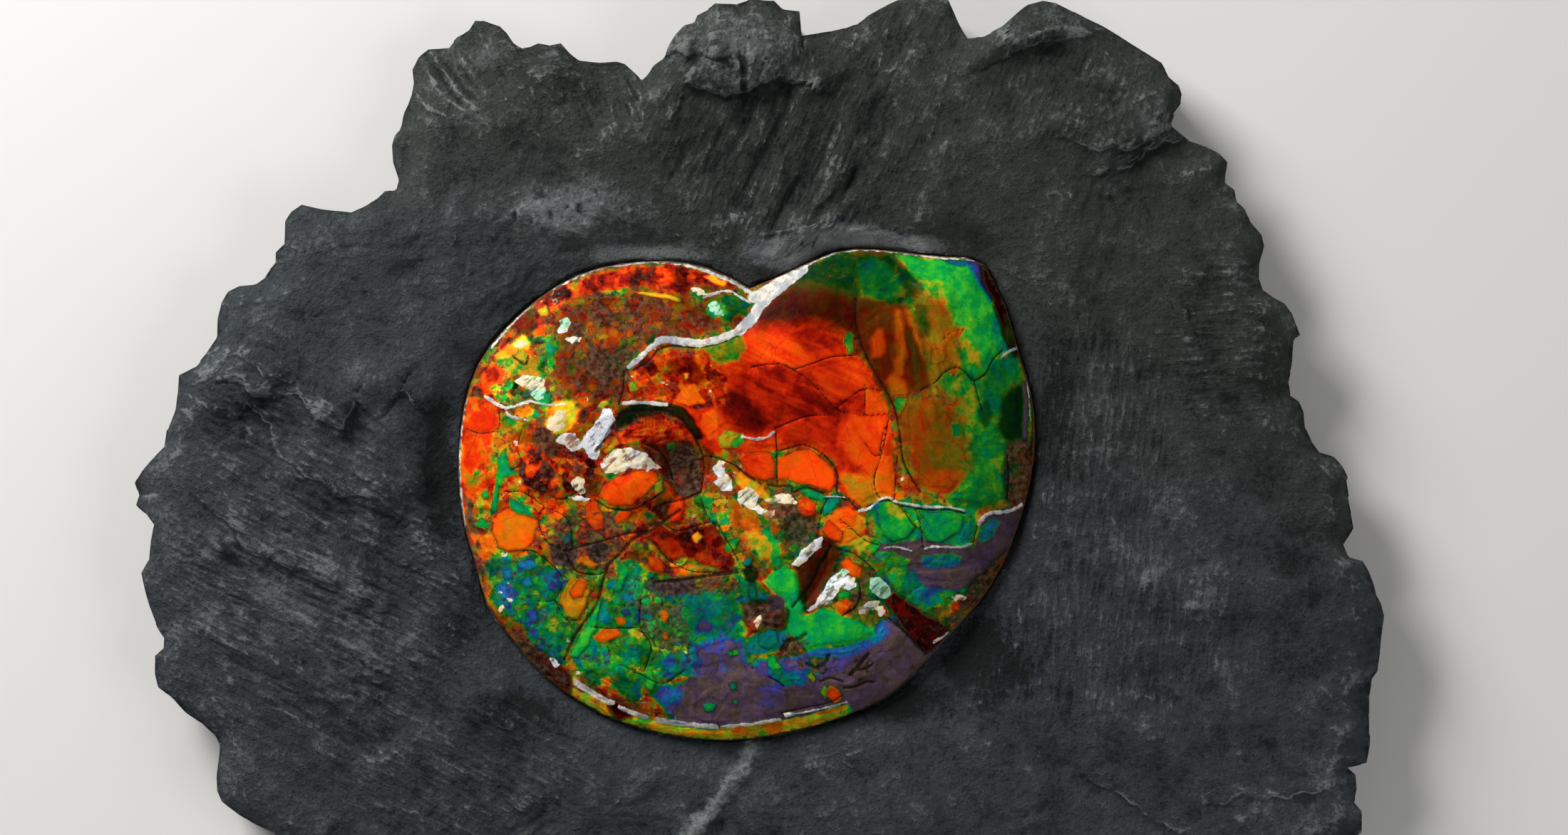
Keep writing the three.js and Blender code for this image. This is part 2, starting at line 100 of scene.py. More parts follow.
# Long cuts that a tool left: depth, half width in mm
TOOL_STROKES = [
    (1.1, 1.8, [1110,118, 1098,165, 1072,215, 1040,270, 1018,305]),
    (0.8, 1.3, [1060,150, 1035,195, 1000,238]),
    (0.9, 1.5, [1120,250, 1100,290, 1078,335]),
    (0.8, 1.4, [1200,238, 1188,270, 1172,302]),
    (0.7, 1.2, [1168,180, 1150,230, 1138,262]),
    (0.6, 1.1, [980,190, 955,230, 925,268]),
    (0.6, 1.1, [1245,150, 1238,190, 1225,230]),
    (0.8, 1.0, [1625,398, 1640,422, 1652,444]),
    (0.7, 0.9, [1658,418, 1666,434, 1672,448]),
    (0.7, 0.9, [1675,458, 1684,482, 1692,502]),
    (0.5, 0.9, [470,380, 452,420, 440,462]),
    (0.5, 0.9, [1500,640, 1540,700, 1560,770]),
    (0.4, 0.8, [1630,720, 1655,760, 1690,790]),
]
# Bright raised threads of rock: height, half width in mm
RIDGES = [
    (1.3, 1.6, [600,70, 622,100, 645,132, 668,152]),
    (1.0, 1.3, [596,96, 616,128, 648,152]),
    (0.9, 1.2, [640,66, 656,98, 680,128]),
    (0.8, 1.4, [575,120, 590,142, 612,158]),
    (0.8, 1.2, [1418,62, 1446,52, 1484,40, 1520,40]),
    (0.7, 1.0, [1330,96, 1318,150, 1302,204]),
    (0.8, 1.0, [310,532, 340,526, 352,548]),
    (0.7, 1.0, [420,545, 450,588, 474,592]),
    (0.7, 1.0, [1066,330, 1110,322, 1160,318, 1215,326, 1262,336]),
    (0.6, 1.0, [286,900, 298,872, 312,852]),
    (0.5, 0.8, [862,1112, 868,1124, 858,1132]),
    (1.0, 1.8, [1594,978, 1606,975, 1618,980]),
]
VEIN = [1062,1034, 1052,1056, 1040,1080, 1022,1106, 1006,1126, 985,1150, 958,1180, 940,1210]
VEIN_HALF_WIDTH = 4.2

# Grain that runs one way over part of the slab: middle and half sizes in pixels, the way it runs in
# degrees, length and width of its streaks and their height in mm
GRAINS = [
    ("flow ripples", (470, 860), (270, 260), -27, 34, 3.0, 1.05),
    ("flow ripples above", (380, 650), (150, 120), -38, 26, 3.6, 0.60),
    ("tool marks", (1090, 225), (230, 130), 66, 40, 3.2, 0.80),
    ("fluted facet", (852, 135), (75, 68), -68, 30, 2.6, 1.30),
    ("upper facet", (1270, 42), (90, 48), 80, 22, 2.4, 0.65),
    ("right ripples", (1712, 460), (105, 130), 3, 36, 3.0, 0.55),
    ("scoop", (645, 95), (75, 70), -52, 32, 5.0, 0.55),
    ("block hatching", (1030, 60), (90, 62), 8, 26, 2.4, 0.90),
    ("upper right", (1590, 150), (150, 110), 28, 30, 3.6, 0.50),
    ("right field", (1640, 760), (260, 220), 60, 46, 5.0, 0.35),
    ("lower field", (1400, 1080), (420, 110), 12, 40, 4.2, 0.35),
    ("lower left foot", (640, 1090), (240, 110), -30, 40, 3.6, 0.60),
]
# Crusts, where the rock broke into crumbs: middle and half sizes in pixels, height in mm
CRUSTS = [
    ((800, 292), (125, 52), 1.25),
    ((1045, 66), (95, 68), 0.75),
    ((975, 92), (60, 40), 0.6),
    ((1150, 330), (110, 26), 1.10),
    ((960, 340), (90, 34), 0.80),
    ((660, 350), (75, 60), 0.70),
    ((1435, 330), (110, 50), 0.45),
    ((430, 590), (140, 70), 0.50),
    ((1460, 60), (70, 34), 0.80),
]
# Broad light and dark of the rock, its own tone with painted shadow and highlight among it: middle and half
# sizes in pixels, lighter above zero and darker below
PAINTED_SHADE_AND_TONE = [
    ((645, 90), (75, 70), 0.55),
    ((1020, 60), (110, 70), 0.7),
    ((800, 290), (150, 60), 0.9),
    ((300, 830), (160, 160), 0.3),
    # The next four: the pale ridge above the fossil's aperture, pale rock and partly a painted highlight of
    # its lit slope
    ((1105, 356), (72, 32), 3.0),
    ((1190, 334), (95, 26), 3.4),
    ((1280, 344), (60, 20), 2.4),
    ((900, 356), (140, 20), 1.6),
    ((1470, 55), (80, 30), 0.45),
    # The next seven: painted shadow in the moat around the fossil
    ((615, 660), (44, 150), -1.3),
    ((640, 860), (50, 90), -0.7),
    ((1390, 930), (100, 110), -1.2),
    ((1265, 985), (120, 46), -1.1),
    ((1485, 560), (40, 190), -0.8),
    ((700, 1000), (110, 60), -0.6),
    ((760, 1010), (70, 50), -0.5),
    # The rock's own tone
    ((470, 860), (220, 170), 0.30),
    ((1150, 210), (240, 130), -0.35),
    ((760, 230), (200, 60), -0.30),
    ((1520, 1080), (360, 110), -0.30),
    ((1620, 560), (240, 330), -0.12),
    ((1590, 720), (150, 220), 0.30),
    ((1830, 800), (100, 300), -0.48),
]
# Which way the fine grain runs: name, degrees, and the places where it shows, middles and half sizes
FLOWS = [
    ("flow_left", -28, [((450, 820), (300, 330)), ((640, 1080), (260, 130)), ((380, 600), (150, 120))]),
    ("flow_top", 66, [((1110, 200), (280, 190)), ((1270, 50), (110, 60)), ((1480, 130), (150, 110))]),
    ("flow_right", 4, [((1712, 480), (110, 170)), ((800, 60), (120, 100))]),
    ("flow_down", 84, [((1540, 620), (150, 250)), ((1560, 900), (260, 160))]),
]

# Colour areas of the shell, later ones over earlier ones: name, place in the play of colour from mauve
# (0) over blue, green and orange to deep red (1), brightness, how shattered, softness of the border in
# mm, corners in pixels
COLOUR_AREAS = [
    ("west ground", 0.70, 0.72, 0.8, 8, [640,560, 760,560, 780,640, 760,790, 660,790]),
    ("heart ground", 0.72, 0.42, 0.95, 8, [740,560, 880,520, 1000,540, 1010,700, 940,800, 820,800,
     750,700]),
    ("middle rubble", 0.56, 0.5, 0.95, 6, [985,690, 1050,690, 1100,690, 1150,700, 1160,780, 1110,800,
     1040,800, 990,760]),
    ("east rubble", 0.5, 0.4, 0.9, 6, [1150,760, 1240,760, 1300,800, 1360,800, 1370,860, 1300,900,
     1230,860, 1160,830]),
    ("upper left rim", 0.8, 0.65, 1.1, 5, [655,560, 675,520, 700,478, 740,430, 790,398, 830,400, 800,440,
     770,480, 740,520, 715,560]),
    ("left edge", 0.78, 0.95, 0.4, 3, [648,560, 700,560, 712,620, 700,660, 695,720, 660,760, 640,680]),
    ("left flank", 0.66, 0.75, 0.9, 5, [655,700, 700,690, 770,700, 860,690, 900,720, 880,770, 830,800,
     760,790, 700,790, 665,770]),
    ("dark red heap", 0.88, 0.5, 1.1, 4, [735,640, 755,622, 800,620, 830,645, 840,670, 800,695, 750,690,
     728,670]),
    ("gold left", 0.62, 0.8, 0.7, 3, [690,602, 715,600, 722,640, 705,650, 690,668, 655,690, 655,665,
     690,650]),
    ("green heap", 0.52, 0.8, 1.2, 6, [700,500, 720,480, 770,465, 782,500, 785,560, 760,590, 720,590,
     700,560]),
    ("lower left mosaic", 0.375, 0.62, 0.8, 6, [680,780, 700,775, 760,785, 800,800, 800,900, 790,930,
     760,920, 715,880, 690,840]),
    ("lower green mass", 0.385, 0.74, 0.7, 4, [850,830, 870,785, 900,790, 930,815, 970,830, 1035,825,
     1045,900, 1000,915, 950,935, 925,965, 860,965, 815,945, 800,915, 825,880]),
    ("lower teal", 0.36, 0.5, 0.5, 4, [960,835, 1030,830, 1035,890, 1000,900, 965,880]),
    ("mauve apron", 0.03, 0.8, 0.4, 9, [940,975, 985,940, 1040,930, 1100,945, 1150,950, 1190,925, 1225,890,
     1250,870, 1330,915, 1290,985, 1200,1040, 1120,1060, 1040,1060, 950,1020]),
    ("right mauve", 0.03, 0.75, 0.3, 4, [1270,795, 1300,790, 1350,785, 1375,780, 1395,790, 1385,815,
     1340,828, 1300,822, 1275,812]),
    ("right violet", 0.05, 0.45, 0.4, 4, [1368,790, 1372,735, 1395,715, 1445,700, 1440,760, 1415,800,
     1385,800]),
    ("right blue", 0.22, 0.62, 0.3, 4, [1374,756, 1378,736, 1392,726, 1402,732, 1394,752, 1384,762]),
    ("violet fringe", 0.1, 0.9, 0.4, 5, [975,905, 1010,890, 1040,900, 1045,930, 1000,945, 955,945,
     960,920]),
    ("violet sweep", 0.10, 0.9, 0.2, 3, [1150,950, 1150,930, 1200,905, 1225,890, 1235,868, 1255,872,
     1240,895, 1200,920, 1175,940]),
    ("blue sweep", 0.21, 0.95, 0.15, 2, [1120,920, 1150,908, 1190,903, 1225,893, 1238,870, 1246,885,
     1230,903, 1195,916, 1160,922]),
    ("violet pool", 0.11, 0.95, 0.35, 5, [1055,925, 1100,920, 1135,915, 1140,940, 1110,950, 1070,950]),
    ("violet low", 0.1, 0.9, 0.35, 5, [1062,965, 1095,958, 1110,975, 1095,995, 1068,990]),
    ("blue low", 0.19, 0.9, 0.35, 3, [915,975, 935,960, 960,970, 958,990, 935,998]),
    ("blue east", 0.25, 0.6, 0.6, 2.5, [925,945, 935,915, 975,912, 985,930, 965,948, 940,955]),
    ("teal low", 0.30, 0.75, 0.5, 3, [1078,940, 1100,938, 1135,945, 1128,960, 1095,962]),
    ("teal flank", 0.33, 0.75, 0.4, 3, [1040,905, 1062,885, 1100,880, 1110,900, 1080,915, 1050,918]),
    ("green tongue", 0.41, 1.12, 0.1, 1.5, [1085,803, 1100,795, 1118,800, 1130,822, 1135,848, 1128,862,
     1155,854, 1172,858, 1195,870, 1225,880, 1230,890, 1205,899, 1165,903, 1135,915, 1108,888, 1092,884,
     1100,862, 1103,845, 1085,825, 1072,815]),
    ("green chip", 0.42, 1.05, 0.2, 1.2, [1076,918, 1088,914, 1093,928, 1100,936, 1086,941, 1078,932]),
    ("east cells", 0.41, 0.85, 0.5, 4, [1220,705, 1250,700, 1370,712, 1375,740, 1360,765, 1300,770,
     1230,768]),
    ("green cell west", 0.44, 0.95, 0.1, 1.2, [1228,718, 1240,706, 1258,704, 1275,722, 1284,740, 1272,752,
     1252,758, 1236,750]),
    ("lime in cell", 0.56, 0.9, 0.2, 2, [1243,708, 1262,706, 1275,722, 1262,730, 1245,722]),
    ("green cell east", 0.415, 0.95, 0.1, 1.2, [1288,718, 1340,716, 1350,725, 1345,745, 1320,758, 1300,760,
     1292,745, 1300,735]),
    ("teal cell", 0.35, 0.8, 0.2, 2, [1345,735, 1366,728, 1370,745, 1360,762, 1335,760]),
    ("dark green bar", 0.42, 0.5, 0.3, 2.5, [1320,690, 1400,680, 1412,700, 1370,712, 1330,705]),
    ("violet bars", 0.05, 0.6, 0.4, 2.5, [1230,762, 1290,755, 1370,768, 1365,795, 1320,795, 1270,800,
     1225,785]),
    ("teal bar", 0.31, 0.75, 0.5, 2, [1292,780, 1335,772, 1350,780, 1345,792, 1315,796, 1295,794]),
    ("green bar", 0.40, 0.75, 0.5, 2, [1225,775, 1250,772, 1278,785, 1270,800, 1245,798]),
    ("green east heap", 0.40, 0.7, 0.6, 2.5, [1222,795, 1285,800, 1300,825, 1340,828, 1335,850, 1300,855,
     1265,845, 1245,820]),
    ("blue east heap", 0.27, 0.75, 0.4, 2, [1288,826, 1318,822, 1322,845, 1300,852, 1290,842]),
    ("red field", 0.83, 0.95, 0.16, 3, [1040,470, 1065,440, 1100,432, 1150,440, 1190,465, 1200,500,
     1225,530, 1240,560, 1250,620, 1245,690, 1180,690, 1172,645, 1130,626, 1090,632, 1040,640, 1000,620,
     985,570, 1000,510, 1020,490]),
    ("fiery band", 0.8, 1.12, 0.08, 3, [1042,480, 1070,465, 1110,458, 1150,470, 1185,490, 1190,503,
     1150,508, 1120,518, 1080,512, 1045,508]),
    ("scarlet strip", 0.85, 1.0, 0.05, 2, [1110,470, 1150,455, 1185,478, 1170,490, 1130,495]),
    ("orange slab", 0.79, 1.1, 0.05, 2, [1135,520, 1190,504, 1205,505, 1232,545, 1213,545, 1180,560,
     1165,562]),
    ("deep red wedge", 0.875, 0.95, 0.08, 3, [1052,522, 1095,515, 1135,530, 1165,565, 1180,582, 1130,585,
     1098,600, 1080,575, 1060,550]),
    ("scarlet rib", 0.87, 1.05, 0.05, 1.5, [1055,545, 1075,550, 1098,600, 1092,606, 1078,590, 1060,562]),
    ("darkest red", 0.93, 0.5, 0.15, 8, [1020,545, 1050,550, 1070,580, 1082,600, 1060,612, 1030,600,
     1012,575]),
    ("red below wedge", 0.85, 0.9, 0.08, 2.5, [1098,603, 1130,588, 1172,582, 1180,625, 1140,625, 1100,625]),
    ("orange east", 0.775, 1.02, 0.08, 2.5, [1180,585, 1240,585, 1243,640, 1225,668, 1190,640, 1175,625]),
    ("amber window", 0.74, 1.02, 0.05, 1.5, [1212,545, 1235,550, 1242,578, 1213,582]),
    ("amber foot", 0.68, 0.95, 0.2, 3, [1175,660, 1200,665, 1225,670, 1250,660, 1262,700, 1232,700,
     1210,712, 1190,695]),
    ("olive foot", 0.62, 0.75, 0.2, 2, [1178,672, 1212,676, 1226,698, 1210,712, 1192,692]),
    ("orange foot", 0.74, 1.0, 0.1, 1.5, [1230,640, 1252,640, 1258,700, 1238,696, 1226,672]),
    ("glowing cell", 0.775, 1.15, 0.03, 1.0, [1093,642, 1108,634, 1132,630, 1150,640, 1168,656, 1173,676,
     1165,690, 1140,682, 1094,671]),
    ("red cell west", 0.81, 1.08, 0.1, 1.2, [1035,645, 1050,634, 1084,634, 1090,650, 1090,670, 1070,674,
     1048,662]),
    # The next two are painted shade under the whorl's lip: the top of the aperture darkened from red to dark
    # brown and dark green
    ("maroon shade", 0.745, 0.06, 0.3, 11, [1050,455, 1085,415, 1115,398, 1160,385, 1215,395, 1262,420,
     1268,445, 1240,475, 1208,488, 1190,466, 1150,452, 1100,452]),
    ("dark green shade", 0.44, 0.1, 0.4, 12, [1100,400, 1135,366, 1190,350, 1258,352, 1284,382, 1296,410,
     1272,424, 1230,430, 1205,420, 1160,404]),
    ("green glint", 0.42, 0.3, 0.2, 4, [1205,375, 1225,368, 1250,385, 1262,410, 1240,420, 1212,415]),
    ("east ground", 0.45, 0.45, 0.4, 6, [1340,500, 1436,500, 1448,570, 1446,660, 1436,712, 1340,705]),
    ("bright green", 0.43, 1.08, 0.06, 3.5, [1258,358, 1300,362, 1362,366, 1378,395, 1392,430, 1405,460,
     1402,490, 1388,512, 1368,528, 1352,515, 1352,490, 1335,462, 1318,440, 1308,410, 1285,390]),
    ("lime drift", 0.5, 0.9, 0.3, 3, [1295,395, 1318,392, 1325,430, 1312,440, 1298,420]),
    ("lime drift low", 0.53, 0.85, 0.3, 3, [1350,475, 1372,490, 1375,515, 1356,512]),
    ("sea green edge", 0.36, 0.8, 0.2, 2.5, [1392,430, 1405,428, 1418,465, 1418,490, 1400,500, 1395,470]),
    ("violet corner", 0.13, 0.5, 0.25, 3, [1352,365, 1372,362, 1385,385, 1396,415, 1388,425, 1376,400]),
    ("blue corner", 0.22, 0.7, 0.2, 1.2, [1322,364, 1360,367, 1352,374, 1335,372]),
    ("olive strip", 0.6, 0.42, 0.25, 6, [1290,412, 1325,425, 1338,462, 1345,500, 1335,520, 1310,535,
     1294,545, 1294,490, 1282,445]),
    ("gold slip", 0.66, 0.55, 0.1, 2, [1320,478, 1322,466, 1338,460, 1354,460, 1346,474, 1332,484]),
    ("flame field", 0.72, 0.13, 0.2, 4, [1203,450, 1235,432, 1268,430, 1290,470, 1300,545, 1272,558,
     1245,560, 1228,520, 1208,490]),
    ("flame core", 0.74, 0.6, 0.1, 3, [1221,480, 1230,464, 1238,464, 1242,486, 1236,500, 1223,500]),
    ("orange stripe", 0.68, 0.45, 0.1, 3, [1254,436, 1263,438, 1272,470, 1270,500, 1262,520, 1258,490]),
    ("gold stripe", 0.65, 0.5, 0.1, 3, [1268,434, 1276,436, 1292,475, 1294,505, 1286,495, 1276,462]),
    ("amber stripe", 0.72, 0.4, 0.1, 1.8, [1253,505, 1262,500, 1268,525, 1262,532, 1255,522]),
    ("dark stripe", 0.56, 0.1, 0.1, 2.5, [1271,462, 1277,462, 1286,500, 1292,545, 1284,550, 1277,510]),
    ("dark stripe east", 0.5, 0.15, 0.1, 2.5, [1287,428, 1298,436, 1302,470, 1295,470, 1288,450]),
    ("flame south", 0.66, 0.5, 0.1, 3.5, [1241,535, 1252,524, 1268,535, 1272,554, 1250,554]),
    ("green splinter", 0.43, 0.85, 0.1, 1, [1252,558, 1275,557, 1262,582, 1256,574]),
    ("green needle", 0.44, 0.8, 0.2, 1, [1188,468, 1196,466, 1200,495, 1192,498, 1186,485]),
    ("brown window", 0.68, 0.27, 0.25, 16, [1268,572, 1292,556, 1322,556, 1338,580, 1346,612, 1338,640,
     1350,662, 1316,686, 1288,690, 1270,650, 1264,610]),
    ("russet window", 0.71, 0.3, 0.15, 10, [1272,578, 1300,572, 1300,610, 1275,620, 1266,600]),
    ("olive window", 0.6, 0.25, 0.3, 14, [1305,590, 1355,590, 1362,645, 1330,662, 1300,645]),
    ("orange sill", 0.72, 0.38, 0.2, 2.5, [1285,662, 1330,658, 1352,665, 1340,688, 1300,690]),
    ("lime upright", 0.52, 0.6, 0.35, 2.5, [1318,545, 1345,520, 1362,535, 1370,580, 1365,620, 1350,600,
     1340,560]),
    ("green wall", 0.43, 0.62, 0.3, 3, [1365,600, 1390,590, 1402,620, 1412,650, 1410,690, 1380,705,
     1330,695, 1360,665, 1370,640]),
    ("slate green", 0.43, 0.38, 0.35, 2.5, [1368,540, 1388,520, 1425,494, 1430,532, 1412,545, 1395,572,
     1378,572]),
    ("teal rim", 0.37, 0.5, 0.2, 2, [1405,505, 1427,494, 1430,530, 1415,540]),
    ("teal speck", 0.33, 0.5, 0.1, 2.5, [1336,596, 1346,598, 1346,612, 1338,612]),
    ("shadow east", 0.45, 0.06, 0.2, 3, [1405,560, 1420,545, 1434,542, 1434,616, 1416,618, 1404,600]),
    ("green cleft", 0.42, 0.2, 0.1, 1.5, [1374,575, 1382,566, 1386,580, 1382,596, 1376,590]),
    ("plum edge", 0.05, 0.75, 0.05, 0.8, [1432,535, 1439,535, 1442,580, 1439,620, 1432,620, 1434,580]),
    ("maroon edge", 0.98, 0.12, 0.1, 1, [1376,365, 1388,382, 1404,418, 1420,455, 1430,495, 1424,498,
     1412,470, 1396,430, 1380,392]),
    ("west cell heap", 0.8, 0.8, 0.7, 2.5, [885,525, 910,505, 940,490, 1000,495, 1018,530, 1025,570,
     980,572, 935,562, 885,560]),
    ("wine west", 0.85, 0.4, 0.3, 2, [938,505, 975,500, 990,530, 975,545, 950,525]),
    ("lime west", 0.55, 1.1, 0.2, 1, [884,540, 892,538, 900,552, 888,552]),
    ("amber west", 0.68, 1.05, 0.2, 1.5, [950,560, 962,542, 978,540, 990,565, 965,568]),
    ("yellow dot", 0.585, 1.8, 0, 0.7, [960,526, 967,526, 967,534, 960,534]),
    ("scarlet dot", 0.86, 1.15, 0.1, 1.2, [1002,548, 1012,540, 1018,556, 1008,562]),
    ("dark olive lip", 0.52, 0.5, 0.3, 2.5, [985,490, 1040,468, 1048,485, 1035,505, 1010,512]),
    ("scarlet neck", 0.84, 1.02, 0.2, 2, [935,575, 960,570, 1000,575, 1022,600, 1010,640, 985,620,
     965,600]),
    ("amber neck", 0.77, 1.05, 0.15, 1.5, [985,578, 1005,575, 1010,600, 995,615, 985,600]),
    ("lime cell", 0.57, 0.95, 0.2, 1.0, [1005,612, 1022,602, 1040,608, 1042,620, 1028,630, 1010,626]),
    ("green cell small", 0.46, 0.95, 0.1, 1.0, [1028,615, 1040,608, 1044,618, 1032,630, 1024,626]),
    ("coil crescent", 0.77, 0.9, 0.45, 1.5, [858,622, 872,602, 900,590, 935,588, 968,605, 975,622, 955,632,
     935,628, 905,616, 880,620]),
    ("coil amber", 0.66, 1.1, 0.3, 1, [845,632, 868,612, 872,622, 852,636]),
    ("coil centre", 0.66, 0.12, 0.8, 2.5, [935,625, 965,622, 982,650, 980,690, 955,695, 938,670, 930,645]),
    ("green in coil", 0.42, 0.6, 0.3, 1, [935,622, 948,620, 950,630, 938,632]),
    ("centre ember", 0.84, 1, 0.3, 1.2, [945,668, 958,664, 964,676, 952,682]),
    ("orange oval", 0.775, 1.0, 0.18, 1.0, [838,695, 848,680, 868,668, 900,660, 918,661, 924,672, 908,695,
     888,710, 858,709]),
    ("olive horn", 0.58, 0.8, 0.2, 1, [918,680, 930,670, 932,690, 920,698]),
    ("red tooth", 0.84, 1.05, 0.1, 1, [936,722, 942,700, 952,693, 960,705, 956,728, 945,732]),
    ("coral tooth", 0.82, 1.08, 0.1, 1, [858,726, 872,716, 892,720, 880,732, 866,736]),
    ("rust cell", 0.785, 0.92, 0.1, 1, [824,706, 838,700, 850,725, 848,742, 836,745, 824,732]),
    ("red cell low", 0.84, 0.9, 0.1, 1, [810,745, 822,738, 830,752, 820,762, 812,758]),
    ("orange bits", 0.75, 0.9, 0.5, 1.5, [770,700, 795,692, 800,712, 780,722]),
    ("big orange cell", 0.7, 1.0, 0.15, 0.9, [697,720, 714,713, 740,722, 758,730, 752,750, 746,764,
     735,772, 714,773, 698,768, 690,748]),
    ("teal wedge", 0.365, 1.05, 0.05, 0.8, [715,698, 727,702, 745,716, 758,727, 742,722, 718,713]),
    ("green kite", 0.40, 0.95, 0.1, 0.9, [662,736, 677,726, 690,738, 681,744]),
    ("green ribbon", 0.40, 1, 0.2, 1, [704,640, 710,630, 718,655, 731,664, 712,668, 702,682, 700,712,
     690,722, 694,690, 698,665]),
    ("small green eye", 0.41, 0.95, 0.1, 0.9, [675,694, 683,686, 688,696, 680,700]),
    ("lower amber edge", 0.70, 0.95, 0.35, 2, [655,748, 690,750, 695,775, 680,790, 668,775]),
    ("red edge block", 0.84, 1.15, 0.08, 1.5, [656,600, 662,578, 688,577, 700,592, 698,604, 670,606]),
    ("red edge low", 0.83, 1.05, 0.12, 1.5, [650,655, 650,618, 668,612, 675,640, 662,668]),
    ("orange edge", 0.77, 1, 0.2, 2, [672,530, 690,510, 712,520, 700,550, 680,560]),
    ("olive west", 0.57, 0.85, 0.5, 3, [694,498, 712,492, 738,494, 758,504, 758,532, 738,530, 716,522,
     698,512]),
    ("yellow flare", 0.575, 2.1, 0.3, 2, [718,482, 735,468, 750,478, 744,492, 728,492]),
    ("amber flare", 0.63, 1.5, 0.3, 2, [693,500, 715,480, 728,490, 705,505]),
    ("yellow tip", 0.59, 1.9, 0.3, 1.2, [752,436, 765,430, 770,442, 758,446]),
    ("orange tip", 0.78, 1.1, 0.3, 1.5, [750,462, 768,452, 766,470, 752,474]),
    ("green spur", 0.43, 0.9, 0.5, 1.5, [765,475, 778,468, 784,500, 775,525, 768,505]),
    ("emerald bit", 0.41, 0.9, 0.4, 1, [785,450, 795,445, 800,460, 790,468]),
    ("emerald heap", 0.40, 1.05, 0.3, 1.2, [745,558, 760,545, 776,555, 770,590, 758,570]),
    ("top red rim", 0.885, 0.65, 0.6, 3, [792,420, 815,395, 850,382, 880,374, 955,374, 1010,388, 1042,405,
     1020,404, 985,398, 960,410, 900,402, 850,408, 815,428]),
    ("top scarlet", 0.85, 1.0, 0.45, 1.5, [850,390, 878,376, 885,395, 870,410, 850,408]),
    ("top scarlet east", 0.84, 1.0, 0.45, 1.5, [915,378, 950,376, 952,398, 925,400]),
    ("brown flat", 0.715, 0.3, 0.8, 8, [800,425, 840,410, 960,420, 1005,446, 1015,460, 960,472, 915,475,
     895,500, 878,520, 872,562, 835,562, 800,545, 782,500, 784,450]),
    ("rust west", 0.76, 0.35, 0.7, 4, [815,440, 838,436, 846,456, 826,466]),
    ("rust east", 0.74, 0.35, 0.8, 4, [900,430, 950,432, 960,450, 930,460, 900,450]),
    ("rust low", 0.78, 0.3, 0.7, 5, [826,535, 876,530, 876,558, 840,562]),
    ("rust shelf", 0.78, 0.3, 0.6, 4, [964,456, 1010,452, 1014,468, 970,474]),
    ("orange crown", 0.71, 0.5, 0.5, 5, [838,478, 850,464, 880,464, 884,478, 862,490, 845,490]),
    ("olive flat", 0.6, 0.35, 0.6, 5, [872,478, 884,470, 900,474, 892,492, 876,494]),
    ("ruby pool", 0.87, 0.4, 0.5, 1.2, [908,752, 925,735, 950,748, 975,742, 1000,738, 1012,755, 1032,785,
     1028,800, 990,792, 965,780, 940,785, 925,768]),
    ("ruby light", 0.82, 0.55, 0.2, 1.5, [915,755, 945,750, 960,770, 945,780, 928,768]),
    ("sulphur drop", 0.585, 1.9, 0.1, 0.8, [971,748, 980,745, 986,755, 978,762, 973,756]),
    ("sulphur thread", 0.57, 1.7, 0.2, 0.8, [938,786, 952,790, 966,784, 962,790, 950,796, 938,792]),
    ("lime shelf", 0.56, 0.85, 0.7, 2.5, [985,695, 1010,690, 1040,705, 1040,745, 1015,745, 990,725]),
    ("orange shelf", 0.7, 0.62, 0.5, 1.5, [1032,705, 1062,718, 1068,735, 1055,748, 1035,735, 1022,722]),
    ("gold shelf", 0.61, 0.95, 0.4, 2, [1045,745, 1062,742, 1085,755, 1090,785, 1068,785, 1055,765]),
    ("emerald shelf", 0.43, 1, 0.2, 1.5, [1070,742, 1082,745, 1095,770, 1095,792, 1082,788, 1080,765]),
    ("emerald drop", 0.44, 0.9, 0.2, 1.2, [1015,770, 1025,755, 1036,752, 1032,770, 1022,775]),
    ("blue drop", 0.26, 0.9, 0.2, 1, [1042,788, 1050,780, 1058,785, 1052,796]),
    ("rose cell", 0.79, 0.85, 0.3, 1.2, [1118,700, 1130,692, 1142,705, 1145,722, 1130,725, 1118,715]),
    ("green hedge", 0.42, 0.9, 0.3, 1.2, [1112,684, 1130,682, 1150,690, 1165,697, 1160,710, 1148,700,
     1125,692]),
    ("teal notch", 0.32, 0.95, 0.2, 1, [1158,708, 1168,692, 1182,690, 1180,706, 1168,722, 1156,724]),
    ("amber twins", 0.72, 1, 0.25, 1.5, [1150,745, 1165,722, 1190,710, 1212,728, 1214,745, 1200,758,
     1175,768, 1158,758]),
    ("red twin", 0.78, 1, 0.1, 1.2, [1152,742, 1163,730, 1182,745, 1178,762, 1160,756]),
    ("lime step", 0.55, 0.9, 0.3, 1.5, [1195,758, 1215,748, 1222,765, 1205,778]),
    ("green step", 0.44, 0.95, 0.2, 1.2, [1213,768, 1230,755, 1236,765, 1222,778]),
    ("amber pier", 0.73, 1, 0.2, 1.2, [1178,790, 1186,780, 1208,796, 1205,808, 1188,805]),
    ("amber fin foot", 0.74, 0.85, 0.3, 1.5, [1168,850, 1185,838, 1200,845, 1192,868, 1178,862]),
    ("teal grey", 0.36, 0.5, 0.6, 2.5, [1035,805, 1065,815, 1085,830, 1065,850, 1040,845]),
    ("umber heap", 0.74, 0.12, 0.8, 2, [1040,850, 1075,842, 1105,855, 1100,880, 1060,885, 1045,870]),
    ("maroon bar", 0.97, 0.22, 0.5, 1.0, [1240,842, 1255,830, 1272,845, 1295,862, 1310,872, 1332,885,
     1328,900, 1300,916, 1282,895, 1262,872]),
    ("gold crumbs", 0.62, 0.7, 0.8, 1.5, [1315,862, 1345,852, 1352,868, 1335,880, 1318,876]),
    ("amber crumb", 0.76, 0.8, 0.3, 1, [1335,846, 1350,845, 1352,856, 1340,858]),
    ("teal crumb", 0.37, 0.8, 0.2, 1, [1342,828, 1358,822, 1360,828, 1350,836]),
